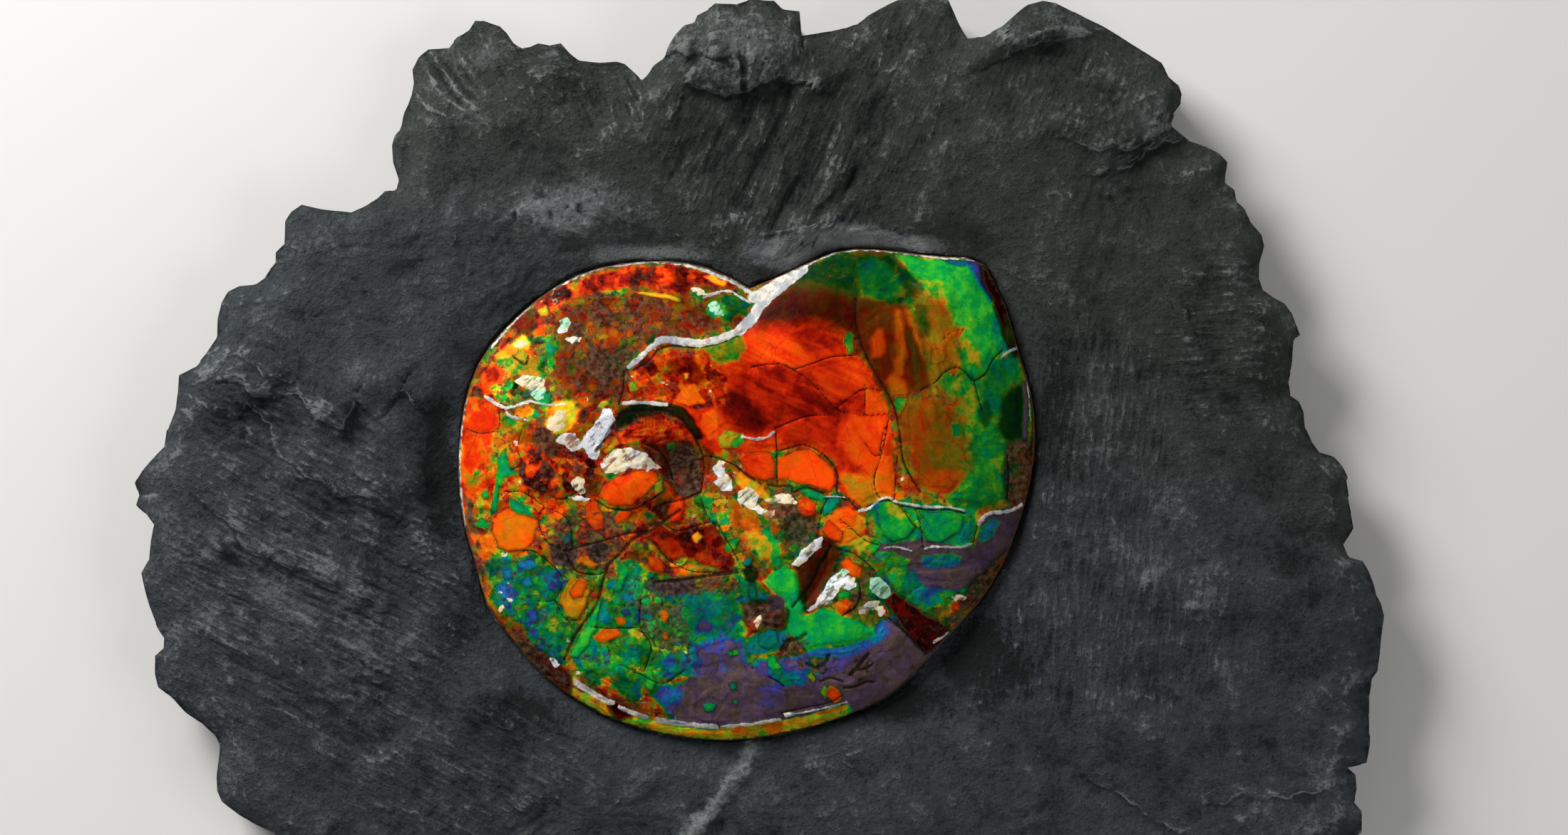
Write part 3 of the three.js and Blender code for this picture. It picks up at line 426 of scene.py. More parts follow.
    ("ember spot", 0.79, 1.2, 0.1, 1, [1160,975, 1166,960, 1178,965, 1182,980, 1170,988]),
    ("gold spot", 0.58, 1.05, 0.2, 1, [1132,948, 1140,942, 1148,952, 1142,958]),
    ("olive tail", 0.53, 0.8, 0.3, 1, [1150,972, 1160,960, 1164,970, 1158,982]),
    ("indigo spot a", 0.22, 1.0, 0.2, 1.2, [728,790, 745,785, 755,795, 745,803, 730,800]),
    ("indigo spot b", 0.22, 0.95, 0.2, 1.2, [708,800, 720,798, 722,812, 712,815]),
    ("cyan spot", 0.30, 1.0, 0.2, 1.2, [732,815, 745,808, 750,822, 738,825]),
    ("indigo spot c", 0.17, 0.95, 0.2, 1.2, [735,855, 750,855, 756,870, 745,872]),
    ("gold cell", 0.63, 0.95, 0.15, 1, [805,808, 822,812, 830,828, 824,848, 812,868, 796,866, 786,842,
     796,820]),
    ("orange in cell", 0.75, 1.0, 0.1, 1, [802,826, 812,812, 824,818, 820,836, 806,836]),
    ("gold sliver", 0.66, 0.95, 0.2, 1, [808,782, 828,778, 842,790, 832,796, 812,792]),
    ("green lower left", 0.44, 0.7, 0.6, 2.5, [770,870, 800,865, 798,895, 785,925, 768,905]),
    ("green blade", 0.43, 1.2, 0.1, 1.2, [800,922, 815,890, 828,868, 840,840, 846,842, 838,872, 826,905,
     812,925]),
    ("green blade top", 0.42, 1, 0.2, 1.2, [862,830, 868,800, 876,788, 882,800, 874,825]),
    ("amber blot", 0.735, 1.05, 0.15, 1.2, [832,892, 845,882, 868,880, 876,888, 862,896, 842,902]),
    ("amber drop a", 0.735, 1.0, 0.1, 1, [862,866, 872,864, 880,872, 870,878]),
    ("amber drop b", 0.72, 0.95, 0.1, 1, [926,858, 934,850, 940,862, 932,872]),
    ("amber drop c", 0.70, 0.9, 0.1, 1, [928,886, 936,880, 940,892, 932,898]),
    ("cyan pane", 0.31, 0.95, 0.2, 1.5, [838,862, 850,855, 862,865, 852,876, 842,874]),
    ("green pane", 0.44, 1.2, 0.1, 1, [906,942, 915,938, 922,955, 918,970, 906,964]),
    ("green dots a", 0.41, 1.05, 0, 0.8, [985,990, 995,984, 1004,988, 1000,997, 988,997]),
    ("green dots b", 0.39, 1.0, 0, 0.7, [1026,957, 1034,955, 1034,964, 1027,965]),
    ("green dots c", 0.39, 1.0, 0, 0.7, [1027,980, 1034,979, 1034,986, 1028,987]),
    ("green dots d", 0.46, 1.05, 0, 0.7, [1020,914, 1029,908, 1032,916, 1024,920]),
    ("sage pane", 0.36, 0.6, 0.5, 2, [865,955, 895,955, 905,975, 885,985, 868,975]),
    ("gold rim", 0.53, 1.6, 0.3, 2, [790,952, 800,945, 830,970, 865,992, 920,1012, 1000,1021, 1055,1019,
     1110,1010, 1150,998, 1192,986, 1200,1000, 1120,1040, 1000,1050, 860,1030, 800,980]),
    ("amber rim", 0.61, 0.9, 0.4, 1.5, [1020,1020, 1060,1018, 1100,1012, 1102,1030, 1030,1040]),
    ("green rim", 0.51, 1.2, 0.3, 1.5, [1150,1006, 1180,996, 1196,992, 1196,1010, 1160,1020]),
    ("fire rim", 0.68, 1.0, 0.3, 1.5, [1146,1000, 1185,986, 1195,988, 1180,996, 1150,1006]),
    ("umber rim", 0.95, 0.2, 0.5, 1.5, [858,984, 880,990, 884,1004, 866,1008, 856,996]),
    ("tan rim", 0.62, 0.4, 0.8, 2, [694,850, 706,846, 744,900, 752,915, 742,912, 716,882]),
    ("plum rim", 0.9, 0.12, 0.5, 2, [735,905, 752,908, 800,950, 800,972, 770,950]),
    ("east rim", 0.66, 0.2, 0.9, 2, [1416,622, 1450,618, 1456,700, 1432,716, 1412,704, 1408,660]),
    ("east rim low", 0.66, 0.15, 0.9, 3, [1384,800, 1420,770, 1440,720, 1460,720, 1440,800, 1390,850,
     1350,850, 1360,820]),
    ("black gap", 0.5, 0.08, 0.1, 1.2, [1408,438, 1416,445, 1430,478, 1420,486, 1412,470]),
    # The next two are painted shade in the crevice that HOLLOWS sinks there
    ("crevice", 0.72, 0.06, 0.5, 3, [1120,790, 1135,770, 1150,752, 1168,762, 1176,775, 1165,800, 1148,825,
     1132,852, 1124,838, 1122,812]),
    ("crevice edge", 0.75, 0.09, 0.2, 2, [1158,770, 1176,775, 1168,798, 1146,830, 1132,854, 1138,834,
     1152,806]),
    ("magenta bit", 0.93, 0.8, 0.1, 0.9, [1142,770, 1150,763, 1153,772, 1146,780]),
    ("pink foot", 0.92, 0.75, 0.2, 1, [1231,852, 1242,849, 1246,860, 1236,864]),
    ("green gem", 0.44, 1.1, 0.1, 0.9, [1172,832, 1182,826, 1191,830, 1188,838, 1176,840]),
    ("red in bar", 0.95, 0.55, 0.2, 2, [1256,852, 1268,848, 1278,860, 1272,868, 1260,862]),
    ("black hole", 0.5, 0.06, 0.1, 1.2, [1049,800, 1058,797, 1064,806, 1058,813, 1050,810]),
    ("dark eye", 0.55, 0.18, 0.4, 2, [797,516, 806,512, 813,520, 806,528, 798,524]),
    ("red block", 0.88, 0.7, 0.3, 1.5, [682,520, 695,514, 704,526, 698,538, 684,536]),
    ("maroon band", 0.8, 0.2, 0.5, 2, [722,448, 736,440, 750,446, 748,460, 730,466]),
    ("lime bits", 0.53, 1.2, 1.0, 2, [688,546, 704,540, 718,546, 716,560, 696,558]),
    ("gold loop", 0.62, 1.3, 0.6, 1.5, [722,572, 736,567, 750,572, 748,584, 732,587]),
    ("cream glow", 0.62, 1.6, 0.3, 2, [766,574, 782,562, 802,560, 815,572, 812,592, 798,608, 780,610,
     768,600]),
    ("gold vein", 0.61, 1.3, 0.3, 1.5, [1032,662, 1042,664, 1060,676, 1078,690, 1081,700, 1066,698,
     1048,690, 1036,676]),
    ("gold flame", 0.6, 1.9, 0.3, 1.5, [794,590, 796,574, 806,566, 810,580, 806,604, 796,604]),
    ("yellow slip", 0.58, 1.7, 0.3, 1.2, [838,572, 846,564, 859,563, 856,572, 846,576]),
    ("tan bands", 0.72, 0.6, 0.8, 2, [801,552, 820,550, 830,566, 826,578, 808,570]),
    ("yellow thread", 0.6, 1.9, 0.1, 0.8, [888,412, 915,411, 956,417, 957,423, 930,421, 900,417]),
    ("yellow flecks", 0.6, 0.8, 0.8, 1.5, [842,408, 858,406, 874,410, 868,418, 848,417]),
    ("dark column", 0.8, 0.25, 0.4, 4, [952,380, 960,378, 966,400, 964,430, 955,432]),
    ("sulphur top", 0.585, 1.8, 0.3, 1.5, [989,388, 1000,386, 1019,396, 1016,402, 998,396]),
    ("pocket", 0.44, 0.28, 0.5, 3, [990,424, 1004,413, 1022,410, 1045,422, 1052,432, 1040,444, 1020,446,
     995,440]),
    ("emerald pocket", 0.41, 0.85, 0.6, 2, [990,440, 1000,424, 1016,426, 1020,440, 1004,448]),
    ("grey band low", 0.04, 0.5, 0.7, 3, [916,812, 940,810, 978,812, 978,830, 940,834, 918,828]),
    ("mauve cell", 0.80, 0.75, 0.2, 1.2, [909,782, 918,777, 930,786, 931,802, 918,802]),
    ("gold under ruby", 0.68, 0.8, 0.5, 1.5, [941,793, 965,792, 986,796, 984,808, 955,810, 943,804]),
    ("lime spot", 0.50, 1.1, 0.1, 0.8, [1025,910, 1033,907, 1035,915, 1028,918]),
    ("grey hollow", 0.05, 0.4, 0.5, 3, [1076,834, 1092,830, 1104,842, 1098,858, 1080,860]),
    ("teal round", 0.34, 0.6, 0.1, 1, [1048,824, 1056,820, 1063,828, 1062,840, 1052,842]),
    ("teal round low", 0.34, 0.75, 0.1, 1.2, [1064,890, 1076,881, 1090,886, 1092,902, 1078,910, 1066,904]),
    ("rose patch", 0.80, 0.6, 0.5, 1.5, [1048,866, 1060,862, 1071,870, 1066,882, 1052,880]),
    ("violet in teal", 0.13, 0.7, 0.3, 2.5, [978,874, 992,868, 1002,874, 998,886, 982,886]),
    ("violet dot", 0.11, 0.8, 0.2, 1.2, [874,857, 884,855, 888,861, 878,864]),
    ("gold tile", 0.62, 0.9, 0.4, 1.5, [842,954, 856,950, 860,962, 846,964]),
    ("dark gaps", 0.05, 0.35, 0.9, 3, [770,762, 800,756, 815,775, 805,795, 780,790]),
    ("dark gaps east", 0.05, 0.32, 0.8, 3, [824,762, 846,757, 862,766, 850,784, 830,784]),
    ("rust heap a", 0.78, 0.85, 0.3, 1.2, [780,694, 792,689, 798,700, 788,707]),
    ("rust heap b", 0.75, 0.85, 0.3, 1.2, [788,738, 798,733, 806,742, 796,748]),
    ("teal heap", 0.36, 0.7, 0.5, 1.2, [790,750, 804,748, 806,759, 794,761]),
    ("orange heap a", 0.79, 0.95, 0.4, 1.2, [735,660, 746,648, 758,652, 750,672, 738,674]),
    ("coil gap", 0.5, 0.03, 0.4, 1.6, [866,600, 872,585, 890,571, 925,565, 955,573, 975,592, 983,612,
     978,612, 960,588, 930,576, 895,582]),
]

# Bare white and mint shards: name, tint (0 blue-white, 1 cream, 2 mint), corners in pixels
SHARDS = [
    ("horn", 0, [847,574, 861,577, 865,590, 856,606, 847,618, 842,632, 840,646, 829,641, 819,626, 822,611,
     833,598, 841,586]),
    ("horn tip", 1.6, [851,579, 861,582, 859,595, 850,605, 844,602, 846,590]),
    ("mint chip", 2, [786,449, 796,444, 804,456, 801,468, 788,466]),
    ("yellow chip", 1, [722,478, 734,474, 742,480, 734,488, 722,487]),
    ("coil band", 0.6, [850,640, 862,630, 880,626, 896,632, 908,636, 920,648, 928,657, 908,661, 886,657,
     868,665, 850,662, 842,652]),
    ("cream flake", 1, [769,602, 772,586, 782,576, 796,574, 800,588, 796,600, 784,606]),
    ("pale flake", 0.9, [723,534, 736,527, 752,530, 768,534, 766,546, 750,552, 738,546]),
    ("mint flake", 2, [746,550, 756,546, 768,546, 766,558, 754,563, 744,558]),
    ("white chip a", 0.4, [784,462, 795,459, 802,462, 801,469, 792,471, 786,469]),
    ("white chip b", 0.4, [798,479, 806,474, 818,476, 816,484, 804,484]),
    ("grey chip", 0.3, [784,619, 797,609, 812,609, 820,618, 822,630, 806,634, 797,625]),
    ("ring shard", 0.5, [1000,658, 1010,646, 1018,648, 1020,662, 1030,676, 1028,688, 1012,688, 1000,676,
     1008,668]),
    ("east shard a", 0.6, [1036,704, 1040,690, 1052,684, 1066,694, 1062,704, 1070,714, 1086,716, 1084,726,
     1066,722, 1050,712]),
    ("east shard b", 1, [1072,700, 1090,692, 1110,694, 1120,704, 1100,706, 1084,704]),
    ("spur shard", 0.4, [1110,791, 1124,770, 1138,756, 1152,750, 1150,766, 1134,782, 1120,794]),
    ("fin shard", 0.3, [1129,859, 1142,846, 1152,832, 1160,816, 1170,801, 1180,801, 1196,808, 1198,820,
     1188,826, 1178,822, 1172,836, 1160,846, 1146,852]),
    ("fin foot", 0.9, [1150,846, 1164,840, 1172,846, 1160,852]),
    ("mint fin", 2, [1168,806, 1180,796, 1190,800, 1182,808, 1172,814]),
    ("mint pier", 2, [1216,810, 1230,808, 1244,820, 1250,830, 1240,842, 1226,834, 1216,822]),
    ("pier foot", 0.5, [1206,852, 1218,844, 1236,842, 1230,854, 1218,862, 1206,862]),
    ("east fleck", 1, [1334,838, 1342,834, 1356,838, 1354,844, 1340,844]),
    ("rim bead", 0.4, [1100,1001, 1110,999, 1114,1006, 1103,1009]),
    ("west fleck", 0.4, [770,926, 778,924, 786,934, 778,938]),
    ("heap shard a", 1, [804,676, 814,664, 822,672, 824,690, 814,694]),
    ("heap shard b", 0.3, [800,700, 818,694, 828,700, 812,704]),
    ("top fleck", 1, [968,404, 978,404, 996,412, 990,416, 976,412]),
    ("mint patch", 2, [994,428, 1004,424, 1012,432, 1016,444, 1006,444, 998,438]),
    ("rim fleck", 1, [698,850, 706,846, 708,854, 700,858]),
    ("rose fleck", 0.5, [1226,852, 1238,850, 1244,862, 1234,864]),
    ("ledge pale", 0.8, [1056,872, 1066,860, 1070,868, 1062,880]),
]

# Pale lines, seams of the shell and in places a painted highlight: name, half width in mm, points in pixels
PALE_LINES = [
    # The lines up to the aperture rim's east end are the whorl's lip and the shell's top rim, walls that face
    # the light: their pale colour is partly a painted highlight
    ("whorl lip", 2.7, [1126,378, 1104,396, 1084,412, 1066,430, 1055,448, 1038,464]),
    ("whorl lip low", 1.9, [1044,460, 1026,470, 1004,478, 984,482, 957,480, 935,477, 924,480]),
    ("whorl lip foot", 1.3, [928,478, 914,488, 900,502, 884,515]),
    ("top rim west", 0.95, [784,401, 800,392, 825,382, 850,374, 875,370, 900,367, 935,367, 975,375,
     1004,385, 1031,397, 1056,412]),
    ("top rim far west", 0.6, [784,401, 760,413, 735,437, 712,460, 690,487]),
    ("notch wedge", 2.6, [1112,386, 1092,398, 1070,412, 1056,418]),
    ("aperture rim", 0.9, [1126,376, 1150,362, 1182,352, 1212,349, 1250,352]),
    ("aperture rim east", 0.6, [1250,352, 1290,358, 1325,362, 1366,364]),
    ("bow line", 0.65, [987,418, 1010,410, 1025,409, 1040,418, 1052,425]),
    ("coil white", 0.9, [876,566, 900,565, 937,568]),
    ("bird line", 0.8, [681,556, 700,568, 717,572, 745,563]),
    ("bird line east", 0.5, [745,563, 770,568, 795,567]),
    ("loop line", 0.6, [745,590, 720,585, 712,578]),
    # The bottom rim's lines, up to the south west rim: pale shell edge, partly a painted highlight
    ("bottom rim", 1.1, [870,992, 888,1000, 908,1006]),
    ("bottom rim middle", 1.3, [923,1010, 950,1015, 984,1018, 1005,1019]),
    ("bottom rim pale", 0.8, [1012,1019, 1050,1016, 1094,1009]),
    ("bottom rim east", 0.55, [1105,1003, 1130,999, 1150,995, 1187,985]),
    ("south west rim", 1.4, [808,957, 825,968, 845,980, 860,986]),
    ("silver east", 0.6, [1254,703, 1275,707, 1300,711, 1330,711, 1352,716]),
    ("silver east b", 0.7, [1205,716, 1220,712, 1232,702, 1246,698, 1250,700]),
    ("silver far east", 0.9, [1372,735, 1380,724, 1392,719, 1410,718, 1425,714, 1433,708]),
    ("silver low", 0.5, [1297,769, 1310,766, 1345,767, 1363,762]),
    ("silver low west", 0.4, [1240,768, 1255,766, 1278,772]),
    ("east rim pale", 0.4, [1398,392, 1416,432, 1431,480, 1441,530, 1446,588]),
    ("silver lip", 0.8, [1404,502, 1414,494, 1428,488]),
    ("west vein", 0.6, [1042,613, 1060,616, 1078,613, 1086,606]),
    ("white thread", 0.4, [1155,697, 1172,696, 1184,697]),
    ("maroon bar rim", 0.6, [1310,902, 1322,894, 1330,888]),
    ("outer rim west", 0.5, [652,740, 647,700, 645,650, 648,600, 655,560]),
]

# Dark cracks, and some dark lines that paint shadow: name, half width in mm before they are thinned, points
# in pixels
CRACKS = [
    ("long crack", 0.9, [1200,420, 1200,450, 1207,480, 1217,505, 1228,525, 1240,545, 1253,570, 1260,600,
     1265,640, 1272,660, 1290,690]),
    ("brow crack", 0.5, [1055,516, 1075,512, 1100,512, 1115,518, 1140,511, 1165,502, 1200,499]),
    ("wedge crack", 0.5, [1100,514, 1130,530, 1150,550, 1172,574, 1185,581]),
    ("mullion", 0.45, [1213,540, 1213,583]),
    ("sill crack", 0.45, [1172,574, 1213,583, 1246,580]),
    ("sash crack", 0.4, [1172,574, 1195,556, 1213,546, 1236,548]),
    ("cheek crack", 0.5, [1087,602, 1110,592, 1135,584, 1172,582]),
    ("post", 0.55, [1088,600, 1090,632, 1090,655, 1091,678]),
    ("cell lid", 0.9, [1088,634, 1110,628, 1128,624, 1150,634, 1168,652, 1175,668, 1174,690, 1186,702]),
    ("east arc", 0.5, [1246,588, 1240,620, 1232,650, 1226,670, 1228,690, 1236,700]),
    ("east post", 0.45, [1258,640, 1256,670, 1254,702]),
    ("brace", 0.4, [1213,622, 1230,640, 1240,600]),
    ("east crack", 0.8, [1290,548, 1312,536, 1322,524, 1340,516, 1352,522, 1365,534, 1382,524, 1392,505,
     1406,492]),
    ("east crack low", 0.5, [1365,534, 1372,560, 1378,580]),
    ("amber crack", 0.4, [1320,478, 1335,466, 1350,463]),
    ("cell lines a", 0.8, [1190,700, 1206,716, 1226,706, 1250,702, 1268,718, 1280,735, 1292,745, 1292,758]),
    ("cell lines b", 0.5, [1178,728, 1195,742, 1214,758, 1232,764]),
    ("cell lines c", 0.6, [1294,768, 1292,745, 1286,722, 1280,708]),
    ("cell lines d", 0.6, [1364,764, 1368,745, 1372,733]),
    ("cell lines e", 0.5, [1148,742, 1152,720, 1160,700]),
    ("cell lines f", 0.7, [1176,770, 1198,776, 1216,790, 1226,800]),
    # The next two are painted shadow, under a pale seam and beside a raised shard
    ("painted shadow under silver", 0.7, [1254,706, 1275,711, 1300,715, 1330,715, 1352,720]),
    ("shard shade", 1.1, [1078,680, 1095,682, 1110,682, 1112,690, 1132,684, 1155,692]),
    ("west post", 0.6, [1000,640, 1030,652, 1050,668, 1070,680]),
    # Painted shadow under the whorl's lip
    ("painted shadow under whorl lip", 1.0, [1050,462, 1030,474, 1004,484, 975,488, 945,486, 925,492, 912,506, 890,520]),
    ("coil arc", 0.9, [872,590, 880,580, 905,577, 935,577, 958,590, 972,608, 984,632, 988,655, 984,690]),
    ("coil west", 1.2, [870,585, 858,602, 848,620, 838,632]),
    ("coil inner", 0.8, [905,622, 925,632, 938,650, 944,672]),
    ("coil drop", 0.8, [877,522, 876,545, 870,568]),
    ("coil spine", 0.9, [984,690, 960,700, 935,705, 920,712]),
    ("oval under", 0.9, [836,700, 858,713, 890,714, 915,700, 930,690]),
    ("diagonal a", 1.3, [955,715, 930,732, 912,745, 890,755, 872,775, 855,792, 846,820, 838,848, 825,866]),
    ("diagonal b", 1.2, [825,866, 812,885, 803,900, 792,925]),
    ("diagonal c", 0.9, [905,745, 880,748, 850,757, 820,765, 795,772]),
    ("west web a", 0.7, [795,772, 810,800, 840,805, 850,800]),
    ("west web b", 0.5, [795,772, 770,760, 758,732, 768,712, 800,730, 805,765]),
    ("west web d", 0.5, [735,772, 755,775, 790,808, 780,840, 755,842]),
    ("west web e", 0.5, [780,840, 795,868, 815,868]),
    ("west web f", 0.6, [712,690, 735,690, 760,706, 768,712]),
    ("west web g", 0.6, [655,602, 675,608, 700,602, 702,575]),
    ("west web h", 0.5, [718,660, 735,650, 728,630, 735,600]),
    ("west web i", 0.6, [742,680, 765,690, 790,700, 812,690]),
    ("ruby brow", 0.6, [905,745, 925,732, 950,744, 975,738, 1002,732, 1015,748, 1036,785]),
    ("ruby sill", 0.5, [925,768, 940,786, 970,800, 1005,802, 1035,800]),
    ("coil east web", 0.5, [985,700, 992,722, 1005,738]),
    ("grey ledge", 1.2, [920,815, 960,812, 1000,806, 1035,802]),
    ("low web a", 0.5, [830,878, 850,880, 880,880, 905,878]),
    ("low web b", 0.45, [900,840, 900,880, 915,905, 905,940]),
    ("low web c", 0.45, [870,930, 900,945, 930,958, 960,940]),
    ("hook", 0.9, [720,500, 738,512, 742,500]),
    ("suture a", 1.5, [1096,910, 1106,898, 1120,895, 1130,888]),
    ("suture a spur", 0.9, [1098,898, 1106,900, 1102,912]),
    ("suture b", 1.5, [1132,930, 1146,935, 1158,928, 1162,918]),
    ("suture c", 1.5, [1192,945, 1202,936, 1210,925, 1218,916]),
    ("suture c spur", 1.0, [1200,940, 1216,936, 1224,930]),
    ("suture d", 1.1, [1184,964, 1200,962, 1214,956, 1226,956]),
    ("suture e", 1.0, [1150,955, 1165,950, 1182,955]),
    ("suture f", 0.7, [1078,948, 1092,955, 1100,962]),
    ("bottom groove", 0.6, [1095,1000, 1130,992, 1160,986, 1182,975]),
    # The next two are painted shadow beside raised shards
    ("fin shade", 1.2, [1112,850, 1128,830, 1140,812, 1150,790, 1160,775, 1165,765]),
    ("pier shade", 0.9, [1204,812, 1206,832, 1200,850, 1182,862]),
    ("maroon cut", 0.8, [1246,866, 1262,880, 1280,896, 1296,914]),
    # The next two are painted shadow along the fossil's east rim
    ("east rim shade", 0.9, [1432,505, 1440,530, 1447,560, 1449,600, 1446,640]),
    ("edge shade low", 0.9, [1412,640, 1414,670, 1412,700]),
]

# Hollows: name, depth in mm, corners in pixels
HOLLOWS = [
    ("crevice", 2.2, [1128,845, 1134,815, 1142,792, 1158,772, 1165,790, 1156,812, 1142,838]),
    ("hole a", 1.4, [1046,800, 1056,794, 1064,804, 1054,812]),
    ("hole b", 1.6, [1056,850, 1068,842, 1086,844, 1094,856, 1080,862, 1062,862]),
    ("hole c", 0.8, [798,512, 808,510, 808,520, 800,522]),
    ("heap hollow", 1.4, [1100,740, 1118,722, 1140,732, 1138,752, 1122,765, 1106,760]),
    ("coil well", 1.2, [938,640, 955,628, 975,640, 978,675, 958,690, 940,670]),
    ("ring hole", 0.9, [1008,676, 1016,668, 1024,680, 1018,686]),
]

# Where brown rock shows through: name, how much, softness of the border in mm, corners in pixels
BARE_ROCK = [
    ("scratches west", 0.7, 3, [1092,900, 1110,890, 1126,896, 1120,908, 1100,914]),
    ("scratches", 0.7, 3, [1132,925, 1150,918, 1166,930, 1158,946, 1140,944]),
    ("scratches east", 0.7, 3, [1184,950, 1196,920, 1214,914, 1226,930, 1212,956]),
    ("bare crown", 0.22, 10, [800,430, 840,416, 905,414, 960,424, 1002,448, 1010,458, 985,470, 920,478,
     898,500, 880,520, 872,560, 840,562, 800,545, 785,500, 788,455]),
    ("coil heart", 0.7, 3, [938,628, 966,622, 984,650, 982,690, 958,696, 940,672]),
    ("east rubble", 0.5, 2, [1412,620, 1446,612, 1448,660, 1436,705, 1408,708, 1412,670]),
    ("south east rubble", 0.55, 4, [1362,800, 1400,790, 1380,845, 1345,872, 1320,890, 1335,860, 1360,830]),
    ("middle heap", 0.6, 4, [1082,688, 1112,690, 1120,712, 1148,735, 1142,765, 1110,768, 1098,740,
     1085,720]),
    ("west joints", 0.5, 6, [770,740, 800,720, 860,715, 880,745, 860,790, 800,800, 775,780]),
    ("umber heap", 0.55, 4, [1040,850, 1075,842, 1105,855, 1100,878, 1060,882, 1045,868]),
    ("grey shelf", 0.35, 5, [905,812, 960,806, 1036,800, 1040,830, 1000,832, 940,835, 905,840]),
    ("south west rim", 0.55, 3, [715,880, 745,900, 790,945, 830,965, 860,985, 850,998, 800,975, 755,940,
     720,905]),
    ("west margin", 0.5, 2, [648,690, 664,700, 672,760, 690,800, 678,815, 655,760]),
    ("fin foot", 0.65, 3, [1195,820, 1210,812, 1214,840, 1195,862, 1180,862]),
    ("suture ground", 0.3, 5, [1090,905, 1130,885, 1170,920, 1215,915, 1225,960, 1180,968, 1140,950,
     1100,930]),
    ("lower rubble", 0.4, 6, [895,845, 960,845, 970,905, 915,905]),
    ("grey in crown", 0.75, 6, [820,500, 850,488, 885,492, 880,525, 840,540, 818,525]),
    ("grey in crown north", 0.6, 5, [828,424, 846,420, 858,440, 840,456, 826,446]),
    ("west gaps", 0.6, 4, [765,600, 790,612, 786,640, 760,640, 748,612]),
]


# Noise, distances and curves, on whole arrays of points in mm
HASH_STEPS = (374761393, 668265263, 97531)
HASH_FACTOR = 1274126177
NOISE_GAIN = 1.5
# Streaks: how far they sway for their width and length, and the finer ones on them
STREAK_SWAY = 0.35
SWAY_LENGTH = 0.4
FINER = (1.7, 2.1)
FINE_SHARE = 0.4
# Steps from one given point of a curve to the next
CURVE_STEPS = 5
# How close points are that become one, and how close in height those of one ring are
MERGE_WITHIN = 0.01
RING_WITHIN = 0.05
# Seeds of the noises. Where a list or layers use one, each entry takes the next few numbers after it
SEED = {
    "roughness": 11, "ledge wander": 21, "terraces": 31, "terrace strength": 37, "grain": 40,
    "line wobble": 51, "wall layers": 61, "wall bite": 62, "patchy grain": 90, "crust plates": 120,
    "crust crumbs": 160, "border wander": 200, "plate bend": 230, "large plates": 240,
    "small plates": 260, "growth lines": 280, "swell": 300, "bare rock": 320,
}


def ease(value):
    """0 to 1 with a soft start and end."""
    value = np.clip(value, 0, 1)
    return value * value * (3 - 2 * value)


def blend(start, end, share):
    """From start to end by a share from 0 to 1."""
    return start + (end - start) * share


def swing(value, amount):
    """A number from 0 to 1 turned into one around zero."""
    return (value - 0.5) * amount


def scatter(column, row, seed):
    """A fixed number from 0 to 1 for each cell of a lattice."""
    number = column.astype(np.int64) * HASH_STEPS[0] + row.astype(np.int64) * HASH_STEPS[1]
    number = (number + seed * HASH_STEPS[2]) & 0xFFFFFFFF
    number = ((number ^ (number >> 13)) * HASH_FACTOR) & 0xFFFFFFFF
    return ((number ^ (number >> 16)) & 0xFFFFFF) / 0x1000000


def noise(x, y, size, seed):
    """Smooth noise of about -1 to 1 on a lattice of the given size."""
    column, row = np.floor(x / size), np.floor(y / size)
    off_x, off_y = x / size - column, y / size - row

    def corner(right, up):
        angle = scatter(column + right, row + up, seed) * 2 * np.pi
        return np.cos(angle) * (off_x - right) + np.sin(angle) * (off_y - up)

    near = blend(corner(0, 0), corner(1, 0), ease(off_x))
    far = blend(corner(0, 1), corner(1, 1), ease(off_x))
    return NOISE_GAIN * blend(near, far, ease(off_y))


def fractal(x, y, size, seed, layers=4):
    """Noise with ever finer noise on it."""
    return sum(noise(x, y, size / 2**k, seed + k) * 0.5**k for k in range(layers))


def turned(x, y, degrees):
    """Coordinates along and across a direction."""
    cosine, sine = math.cos(math.radians(degrees)), math.sin(math.radians(degrees))
    return x * cosine + y * sine, y * cosine - x * sine


def streaks(x, y, degrees, length, width, seed):
    """Ridges that run one way and end raggedly."""
    along, across = turned(x, y, degrees)
    across = across + STREAK_SWAY * width * noise(along, across, length * SWAY_LENGTH, seed + 7)
    coarse = noise(along / length, across / width, 1, seed)
    fine = noise(along / length * FINER[0], across / width * FINER[1], 1, seed + 1)
    return 1 - 2 * np.abs(coarse) + FINE_SHARE * fine


def cells(x, y, size, seed):
    """Each point's cell: its offset from the middle, how far in from the border, and the cell's numbers."""
    column, row = np.floor(x / size), np.floor(y / size)
    nearest = np.full(len(x), np.inf)
    second = nearest.copy()
    best = np.zeros((5, len(x)))
    for right in (-1, 0, 1):
        for up in (-1, 0, 1):
            i, j = column + right, row + up
            off_x = x - (i + scatter(i, j, seed)) * size
            off_y = y - (j + scatter(i, j, seed + 1)) * size
            distance = np.hypot(off_x, off_y)
            closer = distance < nearest
            second = np.where(closer, nearest, np.minimum(second, distance))
            nearest = np.where(closer, distance, nearest)
            numbers = [scatter(i, j, seed + k) for k in (2, 3, 4)]
            best = np.where(closer, np.array([off_x, off_y, *numbers]), best)
    return best, (second - nearest) / 2


def near(x, y, corners, reach):
    """Indices of the points inside the box of some corners, grown by a reach."""
    low, high = corners.min(0) - reach, corners.max(0) + reach
    return np.nonzero((x > low[0]) & (x < high[0]) & (y > low[1]) & (y < high[1]))[0]


